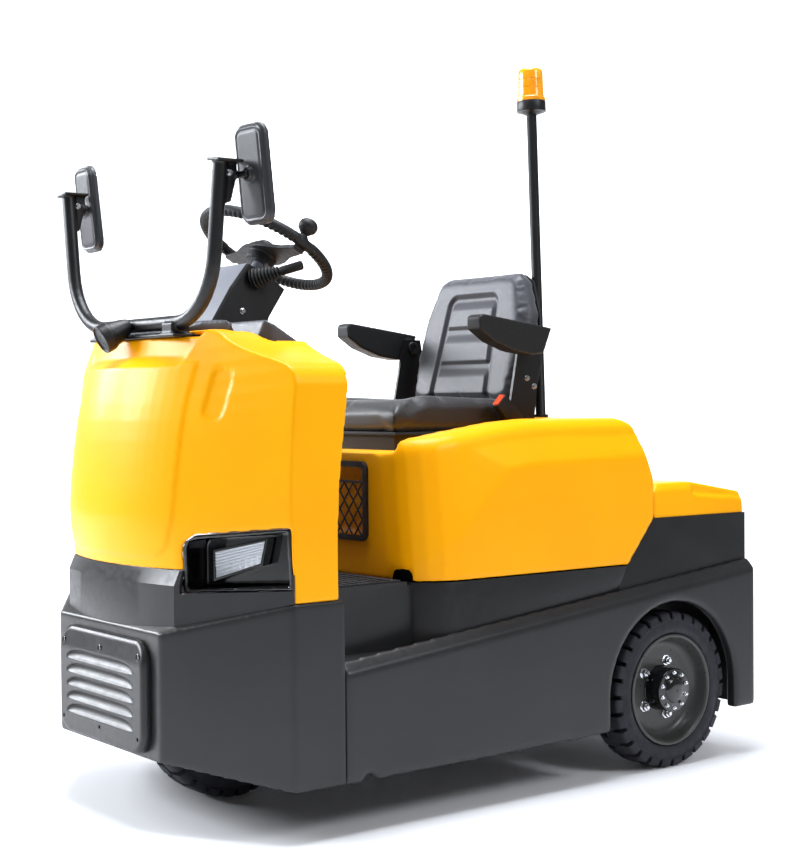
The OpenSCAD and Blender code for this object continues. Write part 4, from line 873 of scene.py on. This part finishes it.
# seat: cushion and backrest plumped as cloth; a pair is a step's start and end or a ridge's place and width
seat = {"voxel": 0.005, "pressure": 4.0, "quality": 5, "steps": 20}
cushion = {"passes": 10, "cap": 0.009, "under": 0.03, "over": 0.02, "clear": 0.0004,
           "bolster": (0.135, 0.2), "bolsterFrom": (0.06, 0.13), "bolsterRise": 0.014,
           "groove": (0.15, 0.011), "grooveFrom": (0.05, 0.12), "grooveDeep": 0.011,
           "cross": (0.15, 0.012), "crossEnd": (0.13, 0.16), "crossDeep": 0.007}
backrest = {"place": (0, 0.188, 0.964), "tilt": math.radians(13), "passes": 22, "cap": 0.008,
            "front": (0.012, 0.03), "panelHalf": 0.126, "panelTaper": 0.022, "taperFrom": 0.022,
            "taperSpan": 0.288, "panelTop": 0.314, "panelRound": 0.03, "panelEdge": (-0.009, 0.007),
            "panelFoot": (0.006, 0.02), "panelDepth": 0.009,
            "pads": ((0.026, 0.108), (0.118, 0.206), (0.218, 0.3)), "padStart": (-0.02, 0.1),
            "padEnd": (0.62, 1.02), "padEdge": (-0.022, -0.008), "padRise": 0.0085,
            "top": 0.386, "topHalf": 0.15, "shoulder": 0.18, "foot": 0.03,
            "crownWide": 0.05, "crownDrop": 0.024, "crownRise": 0.014}


def plump(piece, cap):
    start = [v.co.copy() for v in piece.data.vertices]
    cloth = piece.modifiers.new("cloth", "CLOTH")
    cloth.settings.use_pressure = True
    cloth.settings.uniform_pressure_force = seat["pressure"]
    cloth.settings.effector_weights.gravity = 0
    cloth.settings.quality = seat["quality"]
    cloth.point_cache.frame_start, cloth.point_cache.frame_end = 1, seat["steps"]
    for step in range(1, seat["steps"] + 1):
        scene.frame_set(step)
    hold(piece)
    bpy.ops.object.modifier_apply(modifier="cloth")
    for v, first in zip(piece.data.vertices, start):
        move = v.co - first
        if move.length > cap:
            v.co = first + move * (cap / move.length)
    scene.frame_set(1)


def makeCushion():
    piece = soften("seat_cushion", seat["voxel"], cushion["passes"])
    low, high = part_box("seat_cushion")
    plump(piece, cushion["cap"])
    for v in piece.data.vertices:
        x, y = abs(v.co.x), v.co.y - low.y
        top = smoothStep(v.co.z, low.z + cushion["under"], high.z - cushion["over"])
        bolster = smoothStep(x, *cushion["bolster"]) * smoothStep(y, *cushion["bolsterFrom"])
        groove = ridge(x, *cushion["groove"]) * smoothStep(y, *cushion["grooveFrom"])
        cross = ridge(y, *cushion["cross"]) * (1 - smoothStep(x, *cushion["crossEnd"]))
        sink = cushion["grooveDeep"] * groove + cushion["crossDeep"] * cross
        rise = top * (cushion["bolsterRise"] * bolster - sink)
        v.co.z = max(v.co.z + rise, low.z + cushion["clear"])
    use(piece, "SMOOTH", factor=0.5, iterations=3)
    use(piece, "SUBSURF", levels=1, render_levels=1)
    settle(piece, "seatCushion", "hood", "vinyl")
    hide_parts("seat_cushion")


# signed distance from the outline of the backrest's sunken panel
def panelEdge(q):
    r = backrest["panelRound"]
    taper = backrest["panelTaper"] * max(0, q.z - backrest["taperFrom"]) / backrest["taperSpan"]
    dx, dz = abs(q.x) - backrest["panelHalf"] + taper + r, q.z - backrest["panelTop"] + r
    return math.hypot(max(dx, 0), max(dz, 0)) + min(max(dx, dz), 0) - r


def makeBackrest():
    piece = soften("seat_back", seat["voxel"], backrest["passes"])
    plump(piece, backrest["cap"])
    local = Matrix.Translation(backrest["place"]) @ Matrix.Rotation(-backrest["tilt"], 4, "X")
    back = local.inverted()
    use(piece, "SUBSURF", levels=1, render_levels=1)
    half = max((back @ v.co).x for v in piece.data.vertices)
    for v in piece.data.vertices:
        q = back @ v.co
        front = 1 - smoothStep(q.y, *backrest["front"])
        edge = panelEdge(q)
        inside = (1 - smoothStep(edge, *backrest["panelEdge"])) * smoothStep(q.z, *backrest["panelFoot"])
        rise = 0.0
        for lowZ, highZ in backrest["pads"]:
            t = (q.z - lowZ) / (highZ - lowZ)
            rise += smoothStep(t, *backrest["padStart"]) * (1 - smoothStep(t, *backrest["padEnd"]))
        rise *= 1 - smoothStep(edge, *backrest["padEdge"])
        narrow = 0.5 * (half - backrest["topHalf"]) * smoothStep(q.z, backrest["shoulder"], backrest["top"])
        near = min(half - narrow - abs(q.x), backrest["top"] - q.z, q.z + backrest["foot"])
        bend = 1 - max(0.0, min(near / backrest["crownWide"], 1.0))
        crown = backrest["crownDrop"] * (1 - math.sqrt(1 - bend * bend)) - backrest["crownRise"]
        q.y += front * (crown + backrest["panelDepth"] * inside - backrest["padRise"] * rise)
        v.co = local @ q
    settle(piece, "seatBackrest", "hood", "vinyl")
    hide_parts("seat_back")


makeCushion()
makeBackrest()
print("seat plumped")

# solids that stay: finish, edge rounding in mm and, for the nose, its own split angle
plain = {"nose": ("grey", 0, 14), "battery_bay": ("grey", 2), "rear_body": ("grey", 2),
         "floor_pan": ("grey", 2), "floor_mat": ("mat", 0), "pedals": ("mat", 1.5),
         "mirror_glasses": ("mirror", 0), "hood_lugs": ("steel", 1), "hood_hinges": ("steel", 1),
         "net_pocket": ("black", 0), "pocket_net": ("black", 0), "seat_base": ("steel", 1.5),
         "seat_shell": ("black", 1.5), "belt_buckle": ("black", 2), "belt_retractor": ("black", 2),
         "beacon_mast": ("steel", 1), "rear_lamps": ("red", 1), "tow_hitch": ("grey", 1.5),
         "tow_pin": ("zinc", 0), "rear_axle": ("steel", 1.5), "battery": ("green", 3),
         "front_wheel": ("wheelGrey", 1), "front_fork": ("steel", 1.5)}
edges = {"segments": 2, "bevelFrom": 35, "splitFrom": 32}


def finishSolids():
    for node, (finish, edge, *sharp) in plain.items():
        solid = nodes[node]
        solid.data.materials.clear()
        solid.data.materials.append(paints[finish])
        weld = solid.modifiers.new("weld", "WELD")
        weld.merge_threshold = weldGap
        if edge:
            soft = solid.modifiers.new("edges", "BEVEL")
            soft.width = edge / 1000
            soft.segments = edges["segments"]
            soft.limit_method = "ANGLE"
            soft.angle_limit = math.radians(edges["bevelFrom"])
        split = solid.modifiers.new("split", "EDGE_SPLIT")
        split.split_angle = math.radians(sharp[0] if sharp else edges["splitFrom"])
        solid.data.polygons.foreach_set("use_smooth", [True] * len(solid.data.polygons))


finishSolids()
print("solids finished")
